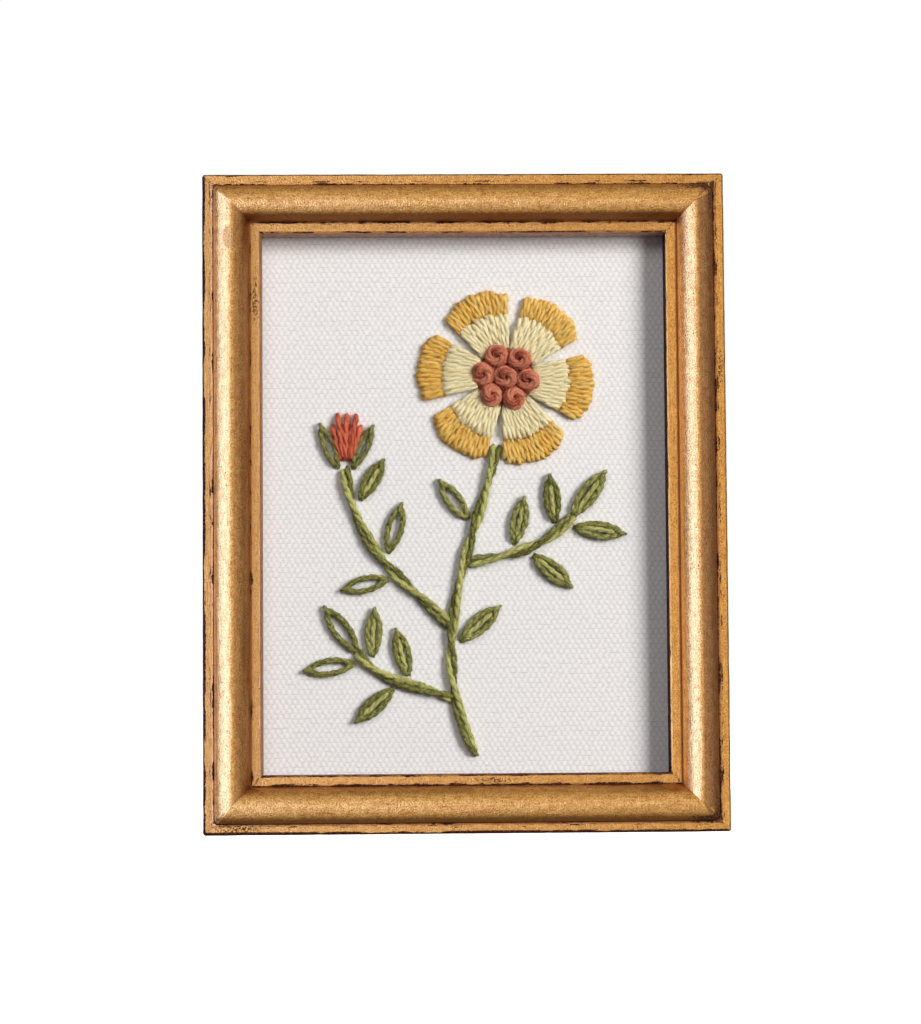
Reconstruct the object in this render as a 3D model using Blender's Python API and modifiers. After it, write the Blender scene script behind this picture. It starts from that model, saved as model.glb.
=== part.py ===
"""A small embroidery in a deep gilt frame, standing upright on its bottom edge.

Four mitred rails hold a cloth that is wrapped round a backing board. A sprig is worked on the cloth
in thick yarn: a yellow flower with a knotted centre, a coral bud, twisted stems and looped leaves.
The width runs along X, the height along Z, and the front faces -Y. The origin is the middle of the
bottom edge. Depths called t run forward from the back of the frame; s runs in from the outer edge.
"""

import math

import bmesh
import bpy
import numpy as np
from mathutils import Vector

MM = 0.001

# Angles in degrees up to which faces are shaded smooth, on hard pieces and on stitches
HARD_SMOOTH = 40.0
STITCH_SMOOTH = 60.0

# Frame
FRAME_WIDTH = 161.3 * MM
FRAME_HEIGHT = 203.2 * MM
FRAME_DEPTH = 25.4 * MM
RAIL_WIDTH = 17.95 * MM
GAP = 0.3 * MM

# Moulding section
SIDE_DEPTH = 20.6 * MM
OUTER_FILLET = 3.2 * MM
BEAD_OUTER_S = 3.4 * MM
BEAD_OUTER_T = 19.8 * MM
BEAD_INNER_S = 14.5 * MM
BEAD_INNER_T = 17.9 * MM
BEAD_STEPS = 10
INNER_FILLET_S = 14.8 * MM
SIGHT_DEPTH = 18.6 * MM
ARRIS = 0.5 * MM
REBATE_S = 12.0 * MM
REBATE_DEPTH = 8.9 * MM

# Cloth and board
CLOTH_THICKNESS = 1.2 * MM
CLOTH_FRONT = REBATE_DEPTH - GAP
CLOTH_BACK = 0.6 * MM
CLOTH_FOLD = 1.8 * MM
HEM_WIDTH = 14.0 * MM
BOARD_EDGE = 0.4 * MM

# Yarn
STITCH_BASE = CLOTH_FRONT + GAP
STEM_RADIUS = 1.9 * MM
STEM_WAIST = 1.15 * MM
STEM_TWIST = 9.0 * MM
STEM_STEP = 1.5 * MM
STEM_SIDES = 12
CURVE_STEPS = 400
STITCH_RISE = 0.6
RIDGE_DEPTH = 0.3

# Flower
FLOWER = Vector((13.0, 141.0)) * MM
PETALS = 6
PETAL_TURN = 52.0
STITCHES = 11
PETAL_INNER = 11.0 * MM
PETAL_BAND = 19.8 * MM
PETAL_OUTER = 27.4 * MM
PETAL_ROUND = 4.4 * MM
PETAL_HALF_INNER = 5.5 * MM
PETAL_HALF_OUTER = 11.8 * MM
PETAL_HEIGHT = 2.5 * MM
TIP_HEIGHT = 2.2 * MM
KNOT_RADIUS = 3.45 * MM
KNOT_RING = 7.2 * MM
KNOT_HEIGHT = 4.8 * MM
MIDDLE_KNOT_HEIGHT = 5.4 * MM
KNOT_GROOVE = 0.14
KNOT_WIND = 5.0
KNOT_DIMPLE = 0.32
KNOT_MOUTH = 0.75

# Stems as cubic curves in x and z, in mm: start, its handle, the end's handle and the end
MAIN_STEM = ((3.0, 24.0), (-16.0, 60.0), (7.0, 98.0), (9.9, 118.9))
# Branches: where each leaves the main stem, as a share of it, then its two handles and its end
BRANCHES = {
    "stem_bud": (0.36, (-14.0, 75.0), (-34.0, 84.0), (-37.0, 112.0)),
    "stem_right": (0.56, (10.0, 85.0), (24.0, 86.0), (33.0, 97.0)),
    "stem_left": (0.15, (-12.0, 46.0), (-25.0, 44.0), (-33.0, 55.0)),
}

# Leaves: the stem, how far along it, the turn from its direction in degrees, length and width in mm
LEAVES = (
    ("stem_right", 0.44, 62, 15.0, 5.8),
    ("stem_right", 0.56, -60, 15.5, 6.0),
    ("stem_right", 0.84, 58, 15.0, 5.8),
    ("stem_right", 0.92, -52, 16.0, 6.0),
    ("stem_right", 1.00, 2, 17.5, 6.4),
    ("stem_left", 0.46, -60, 15.0, 5.8),
    ("stem_left", 0.56, 60, 15.5, 6.0),
    ("stem_left", 0.85, -54, 15.0, 5.8),
    ("stem_left", 0.92, 54, 16.0, 6.0),
    ("stem_left", 1.00, 0, 17.5, 6.4),
    ("stem_bud", 0.44, 58, 15.0, 5.8),
    ("stem_bud", 0.54, -56, 16.0, 6.0),
    ("stem_bud", 0.84, -50, 14.5, 5.6),
    ("stem_main", 0.30, -48, 16.5, 6.2),
    ("stem_main", 0.68, 54, 15.0, 5.8),
)
LEAF_HEIGHT = 2.6 * MM
LEAF_BASE = 0.7 * MM
LEAF_BLUNT = 0.94
LEAF_FULL = 0.7
LEAF_VEIN = 0.4

# Bud
BUD_TURN = 8.0
BUD_LENGTH = 17.5 * MM
BUD_START = 3.6 * MM
BUD_HALF_BASE = 1.2 * MM
BUD_HALF_TOP = 4.7 * MM
BUD_STITCHES = 6
BUD_POINTS = 3
BUD_NOTCH = 0.2
SEPAL_SPREAD = 24.0
SEPAL_APART = 2.2 * MM
SEPAL_LENGTH = 15.0 * MM
SEPAL_WIDTH = 4.6 * MM

# Colours, linear, with roughness and metallic
FINISHES = {
    "gilt": ((0.56, 0.31, 0.10), 0.38, 0.85),
    "linen": ((0.78, 0.75, 0.72), 0.9, 0.0),
    "board": ((0.34, 0.28, 0.21), 0.85, 0.0),
    "yellow_yarn": ((0.84, 0.70, 0.29), 0.85, 0.0),
    "gold_yarn": ((0.78, 0.38, 0.06), 0.85, 0.0),
    "terracotta_yarn": ((0.52, 0.13, 0.07), 0.85, 0.0),
    "coral_yarn": ((0.62, 0.12, 0.06), 0.85, 0.0),
    "olive_yarn": ((0.17, 0.19, 0.04), 0.85, 0.0),
}


def clear_scene():
    for thing in list(bpy.data.objects):
        bpy.data.objects.remove(thing, do_unlink=True)


def new_collection(name):
    group = bpy.data.collections.new(name)
    bpy.context.scene.collection.children.link(group)
    return group


def finish_material(name):
    colour, roughness, metallic = FINISHES[name]
    made = bpy.data.materials.get(name) or bpy.data.materials.new(name)
    made.use_nodes = True
    shader = made.node_tree.nodes["Principled BSDF"]
    shader.inputs["Base Color"].default_value = (*colour, 1.0)
    shader.inputs["Roughness"].default_value = roughness
    shader.inputs["Metallic"].default_value = metallic
    return made


def add_part(name, data, finish):
    part = bpy.data.objects.new(name, data)
    data.materials.append(finish_material(finish))
    parts.objects.link(part)
    return part


def mesh_from(bm, name, smooth_angle=HARD_SMOOTH):
    bmesh.ops.recalc_face_normals(bm, faces=bm.faces)
    data = bpy.data.meshes.new(name)
    bm.to_mesh(data)
    bm.free()
    data.shade_smooth()
    data.set_sharp_from_angle(angle=math.radians(smooth_angle))
    return data


def depth_to_y(t):
    return FRAME_DEPTH / 2 - t


def moulding_section():
    """The rail's outline as (s, t) points, from the back of the outer side round to the rebate."""
    outline = [
        (0.0, 0.0),
        (0.0, SIDE_DEPTH - ARRIS),
        (ARRIS, SIDE_DEPTH),
        (OUTER_FILLET, SIDE_DEPTH),
    ]
    middle = (BEAD_OUTER_S + BEAD_INNER_S) / 2
    half = (BEAD_INNER_S - BEAD_OUTER_S) / 2
    crest = FRAME_DEPTH - (BEAD_OUTER_T + BEAD_INNER_T) / 2
    for step in range(BEAD_STEPS + 1):
        share = step / BEAD_STEPS
        angle = math.pi * share
        foot = BEAD_OUTER_T + (BEAD_INNER_T - BEAD_OUTER_T) * share
        outline.append((middle - half * math.cos(angle), foot + crest * math.sin(angle)))
    outline += [
        (INNER_FILLET_S, SIGHT_DEPTH),
        (RAIL_WIDTH - ARRIS, SIGHT_DEPTH),
        (RAIL_WIDTH, SIGHT_DEPTH - ARRIS),
        (RAIL_WIDTH, REBATE_DEPTH),
        (REBATE_S, REBATE_DEPTH),
        (REBATE_S, 0.0),
    ]
    return outline


def add_rail(name, half_length, half_across, turn):
    """One mitred rail: its section is extruded from one mitre to the other."""
    section = moulding_section()
    mitre_back = GAP / 2 * math.sqrt(2)
    bm = bmesh.new()
    start = []
    for s, t in section:
        start.append(bm.verts.new((s + mitre_back - half_length, depth_to_y(t), s - half_across)))
    face = bm.faces.new(start)
    grown = bmesh.ops.extrude_face_region(bm, geom=[face])
    for vert in grown["geom"]:
        if isinstance(vert, bmesh.types.BMVert):
            vert.co.x = -vert.co.x
    rail = add_part(name, mesh_from(bm, name), "gilt")
    rail.location = (0.0, 0.0, FRAME_HEIGHT / 2)
    rail.rotation_euler = (0.0, math.radians(turn), 0.0)
    return rail


def add_box(name, width, height, t_back, t_front, finish):
    bm = bmesh.new()
    bmesh.ops.create_cube(bm, size=1.0)
    bmesh.ops.scale(bm, vec=(width, t_front - t_back, height), verts=bm.verts)
    box = add_part(name, mesh_from(bm, name), finish)
    box.location = (0.0, depth_to_y((t_front + t_back) / 2), FRAME_HEIGHT / 2)
    return box


def add_bevel(part, width, segments):
    bevel = part.modifiers.new("Rounded edges", "BEVEL")
    bevel.width = width
    bevel.segments = segments
    bevel.limit_method = "ANGLE"


def add_cloth():
    """The cloth folds round the board's four edges and is turned in behind it."""
    width = FRAME_WIDTH - 2 * (REBATE_S + GAP)
    height = FRAME_HEIGHT - 2 * (REBATE_S + GAP)
    cloth = add_box("cloth", width, height, CLOTH_BACK, CLOTH_FRONT, "linen")
    bm = bmesh.new()
    bm.from_mesh(cloth.data)
    bm.faces.ensure_lookup_table()
    rear = max(bm.faces, key=lambda face: face.calc_center_median().y)
    bmesh.ops.inset_region(bm, faces=[rear], thickness=HEM_WIDTH)
    bmesh.ops.delete(bm, geom=[rear], context="FACES")
    bm.to_mesh(cloth.data)
    bm.free()
    add_bevel(cloth, CLOTH_FOLD, 3)
    thick = cloth.modifiers.new("Cloth thickness", "SOLIDIFY")
    thick.thickness = CLOTH_THICKNESS
    thick.offset = -1.0
    thick.use_even_offset = True
    return width, height


def add_pad(name, columns, rows, surface, finish):
    """A raised patch of stitches with a flat back: surface gives x, z and height at shares u, v."""
    bm = bmesh.new()
    bmesh.ops.create_grid(bm, x_segments=columns, y_segments=rows, size=0.5)
    back = list(bm.verts)
    back_faces = list(bm.faces)
    grown = bmesh.ops.extrude_face_region(bm, geom=back_faces)
    front = [item for item in grown["geom"] if isinstance(item, bmesh.types.BMVert)]
    for verts, raised in ((back, 0.0), (front, 1.0)):
        for vert in verts:
            u, v = vert.co.x + 0.5, vert.co.y + 0.5
            x, z, height = surface(u, v)
            vert.co = (x, depth_to_y(STITCH_BASE + raised * height), z)
    bmesh.ops.dissolve_faces(bm, faces=back_faces)
    add_part(name, mesh_from(bm, name, STITCH_SMOOTH), finish)


def end_height(v):
    """How a stitch's height falls towards its two ends, from 1 in the middle."""
    return STITCH_RISE + (1.0 - STITCH_RISE) * math.sqrt(max(0.0, math.sin(math.pi * v)))


def ridge_height(u, ridges):
    """Ridges of yarn laid side by side across u, each a stitch wide."""
    return 1.0 - RIDGE_DEPTH * abs(math.cos(math.pi * u * ridges))


def turned(origin, along, across, turn):
    """A point given by its distances along and across a direction from an origin in x and z."""
    x = origin.x + along * math.cos(turn) - across * math.sin(turn)
    z = origin.y + along * math.sin(turn) + across * math.cos(turn)
    return x, z


def petal_place(u, radius, turn):
    """A point of a petal at share u across it and a distance from the flower's middle."""
    spread = (radius - PETAL_INNER) / (PETAL_OUTER - PETAL_INNER)
    half = PETAL_HALF_INNER + (PETAL_HALF_OUTER - PETAL_HALF_INNER) * spread
    return turned(FLOWER, radius, (2 * u - 1) * half, turn)


def add_petal(number):
    turn = math.radians(PETAL_TURN + 360.0 / PETALS * number)

    def bow(u):
        return PETAL_ROUND * (2 * u - 1) ** 2

    def inner(u, v):
        end = PETAL_BAND - 0.5 * bow(u)
        x, z = petal_place(u, PETAL_INNER + (end - PETAL_INNER) * v, turn)
        return x, z, PETAL_HEIGHT * end_height(v) * ridge_height(u, STITCHES)

    def tip(u, v):
        start = PETAL_BAND - 0.5 * bow(u) + GAP
        x, z = petal_place(u, start + (PETAL_OUTER - bow(u) - start) * v, turn)
        return x, z, TIP_HEIGHT * end_height(v) * ridge_height(u, STITCHES)

    add_pad(f"petal_{number + 1}", 2 * STITCHES, 4, inner, "yellow_yarn")
    add_pad(f"petal_tip_{number + 1}", 2 * STITCHES, 3, tip, "gold_yarn")


def add_knot(name, x, z, height):
    """A knot of yarn wound twice round itself, with a dimple in the middle of its front."""
    bm = bmesh.new()
    bmesh.ops.create_uvsphere(bm, u_segments=14, v_segments=8, radius=1.0)
    for vert in bm.verts:
        up = vert.co.z
        turn = math.atan2(vert.co.y, vert.co.x)
        out = math.hypot(vert.co.x, vert.co.y)
        wound = 1.0 - KNOT_GROOVE * (1.0 + math.cos(2 * turn + KNOT_WIND * up)) / 2
        dimple = KNOT_DIMPLE * max(0.0, 1.0 - out / KNOT_MOUTH) if up > 0 else 0.0
        level = (up - dimple + 1.0) / 2
        radius = out * wound * KNOT_RADIUS
        vert.co = (
            x + radius * math.cos(turn),
            depth_to_y(STITCH_BASE + height * level),
            z + radius * math.sin(turn),
        )
    add_part(name, mesh_from(bm, name, STITCH_SMOOTH), "terracotta_yarn")


def cubic(points, share):
    """The point and the direction at a share along a cubic curve in x and z."""
    a, b, c, d = points
    rest = 1.0 - share
    place = a * rest**3 + b * 3 * rest**2 * share + c * 3 * rest * share**2 + d * share**3
    way = (b - a) * rest**2 + (c - b) * 2 * rest * share + (d - c) * share**2
    return place, way.normalized()


def stem_curve(name):
    if name == "stem_main":
        return [Vector(point) * MM for point in MAIN_STEM]
    share, *rest = BRANCHES[name]
    start = cubic(stem_curve("stem_main"), share)[0]
    return [start] + [Vector(point) * MM for point in rest]


def side_clearance(lean, half_end):
    """How far from a stem's middle line a piece that leans away from it has to start."""
    return (STEM_RADIUS + GAP + half_end * math.cos(lean)) / math.sin(lean)


def clear_start(run, fine):
    """How far along a branch its end face first stands clear of the main stem."""
    main = stem_curve("stem_main")
    main_line = [cubic(main, number / CURVE_STEPS)[0] for number in range(CURVE_STEPS + 1)]
    for length, place, after in zip(run, fine, fine[1:]):
        way = (after - place).normalized()
        corner = Vector((-way.y, way.x)) * STEM_RADIUS
        ends = (place + corner, place - corner)
        nearest = min((end - point).length for end in ends for point in main_line)
        if nearest > STEM_RADIUS + GAP:
            return length
    raise ValueError("the branch never leaves the main stem")


def stem_line(name):
    """Evenly spaced points along a stem; a branch starts clear of the stem that it leaves."""
    curve = stem_curve(name)
    fine = [cubic(curve, number / CURVE_STEPS)[0] for number in range(CURVE_STEPS + 1)]
    steps = [(after - before).length for before, after in zip(fine, fine[1:])]
    run = np.concatenate(([0.0], np.cumsum(steps)))
    first = 0.0 if name == "stem_main" else clear_start(run, fine)
    stops = np.linspace(first, run[-1], round((run[-1] - first) / STEM_STEP) + 1)
    xs = np.interp(stops, run, [place.x for place in fine])
    zs = np.interp(stops, run, [place.y for place in fine])
    return [Vector(pair) for pair in zip(xs, zs)]


def rope_section():
    """The section of two yarns side by side, as a guide curve for the stems."""
    data = bpy.data.curves.new("rope_section", "CURVE")
    data.dimensions = "2D"
    data.fill_mode = "NONE"
    spline = data.splines.new("POLY")
    spline.points.add(STEM_SIDES - 1)
    spline.use_cyclic_u = True
    for number, point in enumerate(spline.points):
        angle = -2 * math.pi * number / STEM_SIDES
        radius = STEM_WAIST + (STEM_RADIUS - STEM_WAIST) * abs(math.cos(angle))
        point.co = (radius * math.cos(angle), radius * math.sin(angle), 0.0, 1.0)
    guide = bpy.data.objects.new("rope_section", data)
    guide.hide_render = True
    guide.display_type = "WIRE"
    guides.objects.link(guide)
    return guide


def add_stem(name, section):
    line = stem_line(name)
    data = bpy.data.curves.new(name, "CURVE")
    data.dimensions = "3D"
    data.bevel_mode = "OBJECT"
    data.bevel_object = section
    data.use_fill_caps = True
    spline = data.splines.new("POLY")
    spline.points.add(len(line) - 1)
    height = depth_to_y(STITCH_BASE + STEM_RADIUS)
    for number, (point, place) in enumerate(zip(spline.points, line)):
        point.co = (place.x, height, place.y, 1.0)
        point.tilt = 2 * math.pi * number * STEM_STEP / STEM_TWIST
    add_part(name, data, "olive_yarn")


def leaf_strands(u):
    """The height across a leaf: a strand on each side of the vein in the middle."""
    return 1.0 - LEAF_VEIN * math.cos(2 * math.pi * u) ** 2


def add_leaf(name, base, turn, length, width):
    """A long looped stitch: two rounded strands that meet at the tip, with a vein between."""

    def surface(u, v):
        swell = math.sin(math.pi * v * LEAF_BLUNT) ** LEAF_FULL
        half = LEAF_BASE + (width / 2 - LEAF_BASE) * swell
        x, z = turned(base, length * v, (2 * u - 1) * half, turn)
        return x, z, LEAF_HEIGHT * end_height(v) * leaf_strands(u)

    add_pad(name, 8, 7, surface, "olive_yarn")


def add_leaves():
    for number, (stem, along, turn, length, width) in enumerate(LEAVES):
        place, way = cubic(stem_curve(stem), along)
        angle = math.atan2(way.y, way.x) + math.radians(turn)
        clear = 2 * GAP if along == 1.0 else side_clearance(abs(math.radians(turn)), LEAF_BASE)
        base = place + Vector((math.cos(angle), math.sin(angle))) * clear
        add_leaf(f"leaf_{number + 1:02d}", base, angle, length * MM, width * MM)


def add_bud():
    """Coral stitches that rise to three points, held between two green sepals."""
    foot, way = cubic(stem_curve("stem_bud"), 1.0)
    turn = math.atan2(way.y, way.x) - math.radians(BUD_TURN)

    def petals(u, v):
        across = 2 * u - 1
        peak = 1.0 - BUD_NOTCH * (1.0 - abs(math.cos(BUD_POINTS * math.pi / 2 * across)))
        half = BUD_HALF_BASE + (BUD_HALF_TOP - BUD_HALF_BASE) * v
        along = BUD_START + (BUD_LENGTH * peak - BUD_START) * v
        x, z = turned(foot, along, across * half, turn)
        return x, z, PETAL_HEIGHT * end_height(v) * ridge_height(u, BUD_STITCHES)

    add_pad("bud", 2 * BUD_STITCHES, 5, petals, "coral_yarn")
    for name, side in (("sepal_left", 1), ("sepal_right", -1)):
        angle = turn + side * math.radians(SEPAL_SPREAD)
        across = Vector((-math.sin(turn), math.cos(turn))) * side
        base = foot + Vector((math.cos(turn), math.sin(turn))) * 2 * GAP + across * SEPAL_APART
        add_leaf(name, base, angle, SEPAL_LENGTH, SEPAL_WIDTH)


clear_scene()
parts = new_collection("framed_embroidery")
guides = new_collection("guides")

half_width, half_height = FRAME_WIDTH / 2, FRAME_HEIGHT / 2
add_rail("frame_bottom", half_width, half_height, 0.0)
add_rail("frame_top", half_width, half_height, 180.0)
add_rail("frame_left", half_height, half_width, 90.0)
add_rail("frame_right", half_height, half_width, -90.0)

cloth_width, cloth_height = add_cloth()
board_inset = 2 * (CLOTH_THICKNESS + GAP)
board_back = CLOTH_BACK + CLOTH_THICKNESS + GAP
board_front = CLOTH_FRONT - CLOTH_THICKNESS - GAP
board = add_box(
    "board", cloth_width - board_inset, cloth_height - board_inset, board_back, board_front, "board"
)
add_bevel(board, BOARD_EDGE, 2)

for petal in range(PETALS):
    add_petal(petal)
add_knot("knot_middle", FLOWER.x, FLOWER.y, MIDDLE_KNOT_HEIGHT)
for knot in range(PETALS):
    around = math.radians(PETAL_TURN + 360.0 / PETALS * knot)
    knot_x = FLOWER.x + KNOT_RING * math.cos(around)
    knot_z = FLOWER.y + KNOT_RING * math.sin(around)
    add_knot(f"knot_{knot + 1}", knot_x, knot_z, KNOT_HEIGHT)

rope = rope_section()
for stem_name in ("stem_main", *BRANCHES):
    add_stem(stem_name, rope)
add_leaves()
add_bud()
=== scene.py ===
"""The looks of the framed embroidery: gilded rails, woven cloth and a sprig worked in wool.

Lengths in the constants are millimetres. On the flat, places are x across and z up from the middle
of the frame's bottom edge. Depths called t run forward from the back of the frame, which faces +Y;
on a rail, s runs in from its outer edge.
"""

import math

import bmesh
import bpy
import numpy as np
from mathutils import Matrix, Vector, noise


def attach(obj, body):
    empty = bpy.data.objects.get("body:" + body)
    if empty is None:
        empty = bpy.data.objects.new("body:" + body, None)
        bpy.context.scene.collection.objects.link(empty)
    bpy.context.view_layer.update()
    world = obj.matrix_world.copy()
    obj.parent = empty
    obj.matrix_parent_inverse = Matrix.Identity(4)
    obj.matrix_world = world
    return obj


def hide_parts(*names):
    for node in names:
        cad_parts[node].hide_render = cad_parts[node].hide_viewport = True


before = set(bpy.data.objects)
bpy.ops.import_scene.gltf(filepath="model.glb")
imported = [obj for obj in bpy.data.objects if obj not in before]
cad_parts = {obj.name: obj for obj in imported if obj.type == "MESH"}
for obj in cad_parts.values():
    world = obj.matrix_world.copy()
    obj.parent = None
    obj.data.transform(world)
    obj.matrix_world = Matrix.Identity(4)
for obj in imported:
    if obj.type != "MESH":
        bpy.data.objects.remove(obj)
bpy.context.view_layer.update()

MM = 0.001

# Frame
FRAME_WIDTH = 161.3
FRAME_HEIGHT = 203.2
FRAME_DEPTH = 25.4
RAIL_WIDTH = 17.95
SIDE_DEPTH = 20.6
OUTER_FILLET = 3.2
BEAD_OUTER = (3.4, 20.2)
BEAD_INNER = (14.5, 18.4)
INNER_FILLET = 14.8
SIGHT_DEPTH = 18.6
ARRIS = 0.5
REBATE_S = 12.0
REBATE_DEPTH = 8.9
RAIL_STEP = 1.1
BEAD_STEPS = 34
BEAD_HEART = 8.0
BEAD_REACH = 5.6
GILT_FLOOR = 17.5
KEEL = 0.65
END_STOPS = (0.0, 0.3, 0.7, 1.1, 1.6, 2.2, 2.9, 3.7, 4.6, 5.6, 6.7)

# How far the hand finish strays from the true section
BEAD_WAVER = 0.2
HAMMERED = 0.07
FILLET_WAVER = 0.12
CORNER_RADIUS = 1.1

# How strongly dark wax has filled the bead's outer corners, and how round they have become
CORNER_WAX = {"top_left": 0.45, "top_right": 1.0, "bottom_right": 0.85, "bottom_left": 0.4}
CORNER_ROUND = {"top_left": 1.2, "top_right": 3.6, "bottom_right": 2.8, "bottom_left": 1.4}
WAX_REACH = 14.0

# How far from the bead's crest the painted brown shade on its flanks starts and is full, measured round
# the section
FLANK_SHADE_REACH = (2.8, 5.0)

# How each rail is worn, and how light and shade are painted on it, from 0 to 1: the black outer arris,
# the painted light on the wall inside the sight edge (pale where lit, dark where shaded), the dark line
# in the outer and in the inner crease, the black inner arris, the painted brown shade down the bead's
# outer and inner flank, the painted highlight on the lips beside the fillets, the painted shade that
# dulls the fillets, the painted shade down one half of the bead from its crest (below 0 on the inner
# flank) and the hammered look
RAIL_WEAR_AND_PAINTED_LIGHT = {
    "frame_bottom": (1.0, 0.3, 0.35, 0.75, 0.6, 0.75, 0.35, 0.0, 0.15, 0.0, 1.0),
    "frame_top": (0.45, 1.0, 0.45, 0.6, 0.5, 0.1, 1.0, 0.0, 0.15, 0.0, 1.0),
    "frame_left": (0.95, 0.45, 0.45, 0.35, 0.0, 0.0, 0.3, 0.5, 0.35, -0.5, 0.35),
    "frame_right": (0.2, 0.0, 0.6, 0.0, 0.05, 0.15, 0.2, 0.0, 0.0, 0.68, 0.45),
}
# Scuffed places: the rail, the place along it, its s, its half length and half width, and whether the
# leaf there is roughened (1) or rubbed down to the red bole (-1)
SCUFFS = (
    ("frame_left", -81.5, 8.4, 3.6, 1.8, 1),
    ("frame_left", -63.0, 16.2, 8.0, 0.9, -1),
    ("frame_bottom", -70.0, 1.9, 8.0, 1.7, -1),
    ("frame_bottom", 8.0, 16.2, 7.0, 0.9, -1),
    ("frame_right", 41.0, 1.6, 7.0, 0.9, -1),
)
SCUFF_DEPTH = 0.22

# Colours of the frame: pairs run from dark to light
LEAF_BEAD = ((0.50, 0.178, 0.036), (1.0, 0.56, 0.15))
LEAF_FILLET = ((0.52, 0.20, 0.038), (0.94, 0.45, 0.09))
LEAF_SCUFFED = ((0.35, 0.15, 0.03), (0.95, 0.55, 0.16))
# Painted shade on the fillets of the rails away from the light.
FILLET_SHADE = (0.36, 0.16, 0.05)
# Painted shade down the bead's flanks.
FLANK_SHADE_BROWN = (0.17, 0.06, 0.02)
# Painted shade at the bead's feet, beside the creases.
CREASE_SHADE_BROWN = (0.36, 0.19, 0.085)
# Painted shade down one half of the bead, from its crest.
HALF_SHADE = ((0.22, 0.09, 0.042), (0.39, 0.178, 0.100))
WAX_BLACK = (0.022, 0.010, 0.007)
BOLE_RED = (0.16, 0.046, 0.020)
# Painted highlight: the pale line where a lip catches the light.
LIP_HIGHLIGHT = (0.95, 0.56, 0.30)
STAIN = ((0.030, 0.018, 0.011), (0.085, 0.050, 0.032))
# Painted light and shade on the wall inside the sight edge, from shaded to lit.
WALL_SHADE_TO_LIGHT = ((0.06, 0.018, 0.010), (0.70, 0.44, 0.34))
BOARD = ((0.24, 0.17, 0.11), (0.44, 0.34, 0.23))

# Cloth
# The dark end is also painted shade in the gaps between threads.
LINEN_AND_GAP_SHADE = ((0.67, 0.64, 0.615), (0.94, 0.912, 0.895))
REBATE_GAP = 0.3
CLOTH_BACK = 0.6
CLOTH_THICKNESS = 1.2
CLOTH_FOLD = 1.8
HEM_WIDTH = 14.0
WARP = 0.935
WEFT = 1.51
WARP_STEPS = 2
WEFT_STEPS = 3
WEAVE_RELIEF = 0.095
RING_STEP = 5.0
CORNER_POINTS = 5

# Stitches
STITCH_BASE = 8.9
STITCH_ROOT = 8.2
FLOWER = (13.0, 141.0)
PETALS = 6
PETAL_TURN = 52.0
STITCHES = 11
TIP_STITCHES = 15
PETAL_INNER = 11.0
PETAL_ROOT = 8.2
PETAL_BAND = 19.8
PETAL_OUTER = 27.4
PETAL_ROUND = 4.4
PETAL_HALF_INNER = 5.5
PETAL_HALF_OUTER = 11.8
PETAL_YARN = 1.3
TIP_YARN = 1.24
KNOT_RING = 7.2
KNOT_TURNS = 2.3
KNOT_HEIGHT = 4.8
MIDDLE_KNOT_HEIGHT = 5.4
KNOT_BED = 9.2
KNOT_BED_YARN = 0.95

STEM_RADIUS = 1.9
STEM_TWIST = 34.0
MAIN_STEM = ((3.0, 24.0), (-16.0, 60.0), (7.0, 98.0), (9.9, 118.9))
BRANCHES = {
    "stem_bud": (0.36, (-14.0, 75.0), (-34.0, 84.0), (-37.0, 112.0)),
    "stem_right": (0.56, (10.0, 85.0), (24.0, 86.0), (33.0, 97.0)),
    "stem_left": (0.15, (-12.0, 46.0), (-25.0, 44.0), (-33.0, 55.0)),
}
# Leaves: the stem, how far along it, the turn from its direction in degrees, length and width
LEAVES = (
    ("stem_right", 0.44, 62, 15.0, 5.8),
    ("stem_right", 0.56, -60, 15.5, 6.0),
    ("stem_right", 0.84, 58, 15.0, 5.8),
    ("stem_right", 0.92, -52, 16.0, 6.0),
    ("stem_right", 1.00, 2, 17.5, 6.4),
    ("stem_left", 0.46, -60, 15.0, 5.8),
    ("stem_left", 0.56, 60, 15.5, 6.0),
    ("stem_left", 0.85, -54, 15.0, 5.8),
    ("stem_left", 0.92, 54, 16.0, 6.0),
    ("stem_left", 1.00, 0, 17.5, 6.4),
    ("stem_bud", 0.44, 58, 15.0, 5.8),
    ("stem_bud", 0.54, -56, 16.0, 6.0),
    ("stem_bud", 0.84, -50, 14.5, 5.6),
    ("stem_main", 0.30, -48, 16.5, 6.2),
    ("stem_main", 0.68, 54, 15.0, 5.8),
)
LEAF_BASE = 0.7
LEAF_STRAND = 0.98
BUD_TURN = 8.0
BUD_START = 3.6
BUD_LENGTH = 17.5
BUD_HALF_BASE = 1.2
BUD_HALF_TOP = 4.7
BUD_STITCHES = 7
BUD_POINTS = 3
BUD_NOTCH = 0.2
SEPAL_SPREAD = 24.0
SEPAL_APART = 2.2
SEPAL_LENGTH = 15.0
SEPAL_WIDTH = 4.6

# Yarn: the dark and the light dye, the painted shade between fibres, and how streaky it is
WOOLS = {
    "yellow_wool": ((0.98, 0.78, 0.40), (1.0, 0.90, 0.57), (0.96, 0.68, 0.25), 1.0),
    "gold_wool": ((0.88, 0.46, 0.06), (1.0, 0.70, 0.22), (0.74, 0.33, 0.035), 1.0),
    "terracotta_wool": ((0.30, 0.034, 0.017), (0.84, 0.325, 0.19), (0.34, 0.045, 0.018), 1.1),
    "coral_wool": ((0.38, 0.045, 0.018), (0.95, 0.24, 0.13), (0.25, 0.03, 0.012), 1.0),
    "olive_wool": ((0.10, 0.094, 0.016), (0.66, 0.64, 0.22), (0.05, 0.048, 0.010), 1.7),
}
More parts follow.
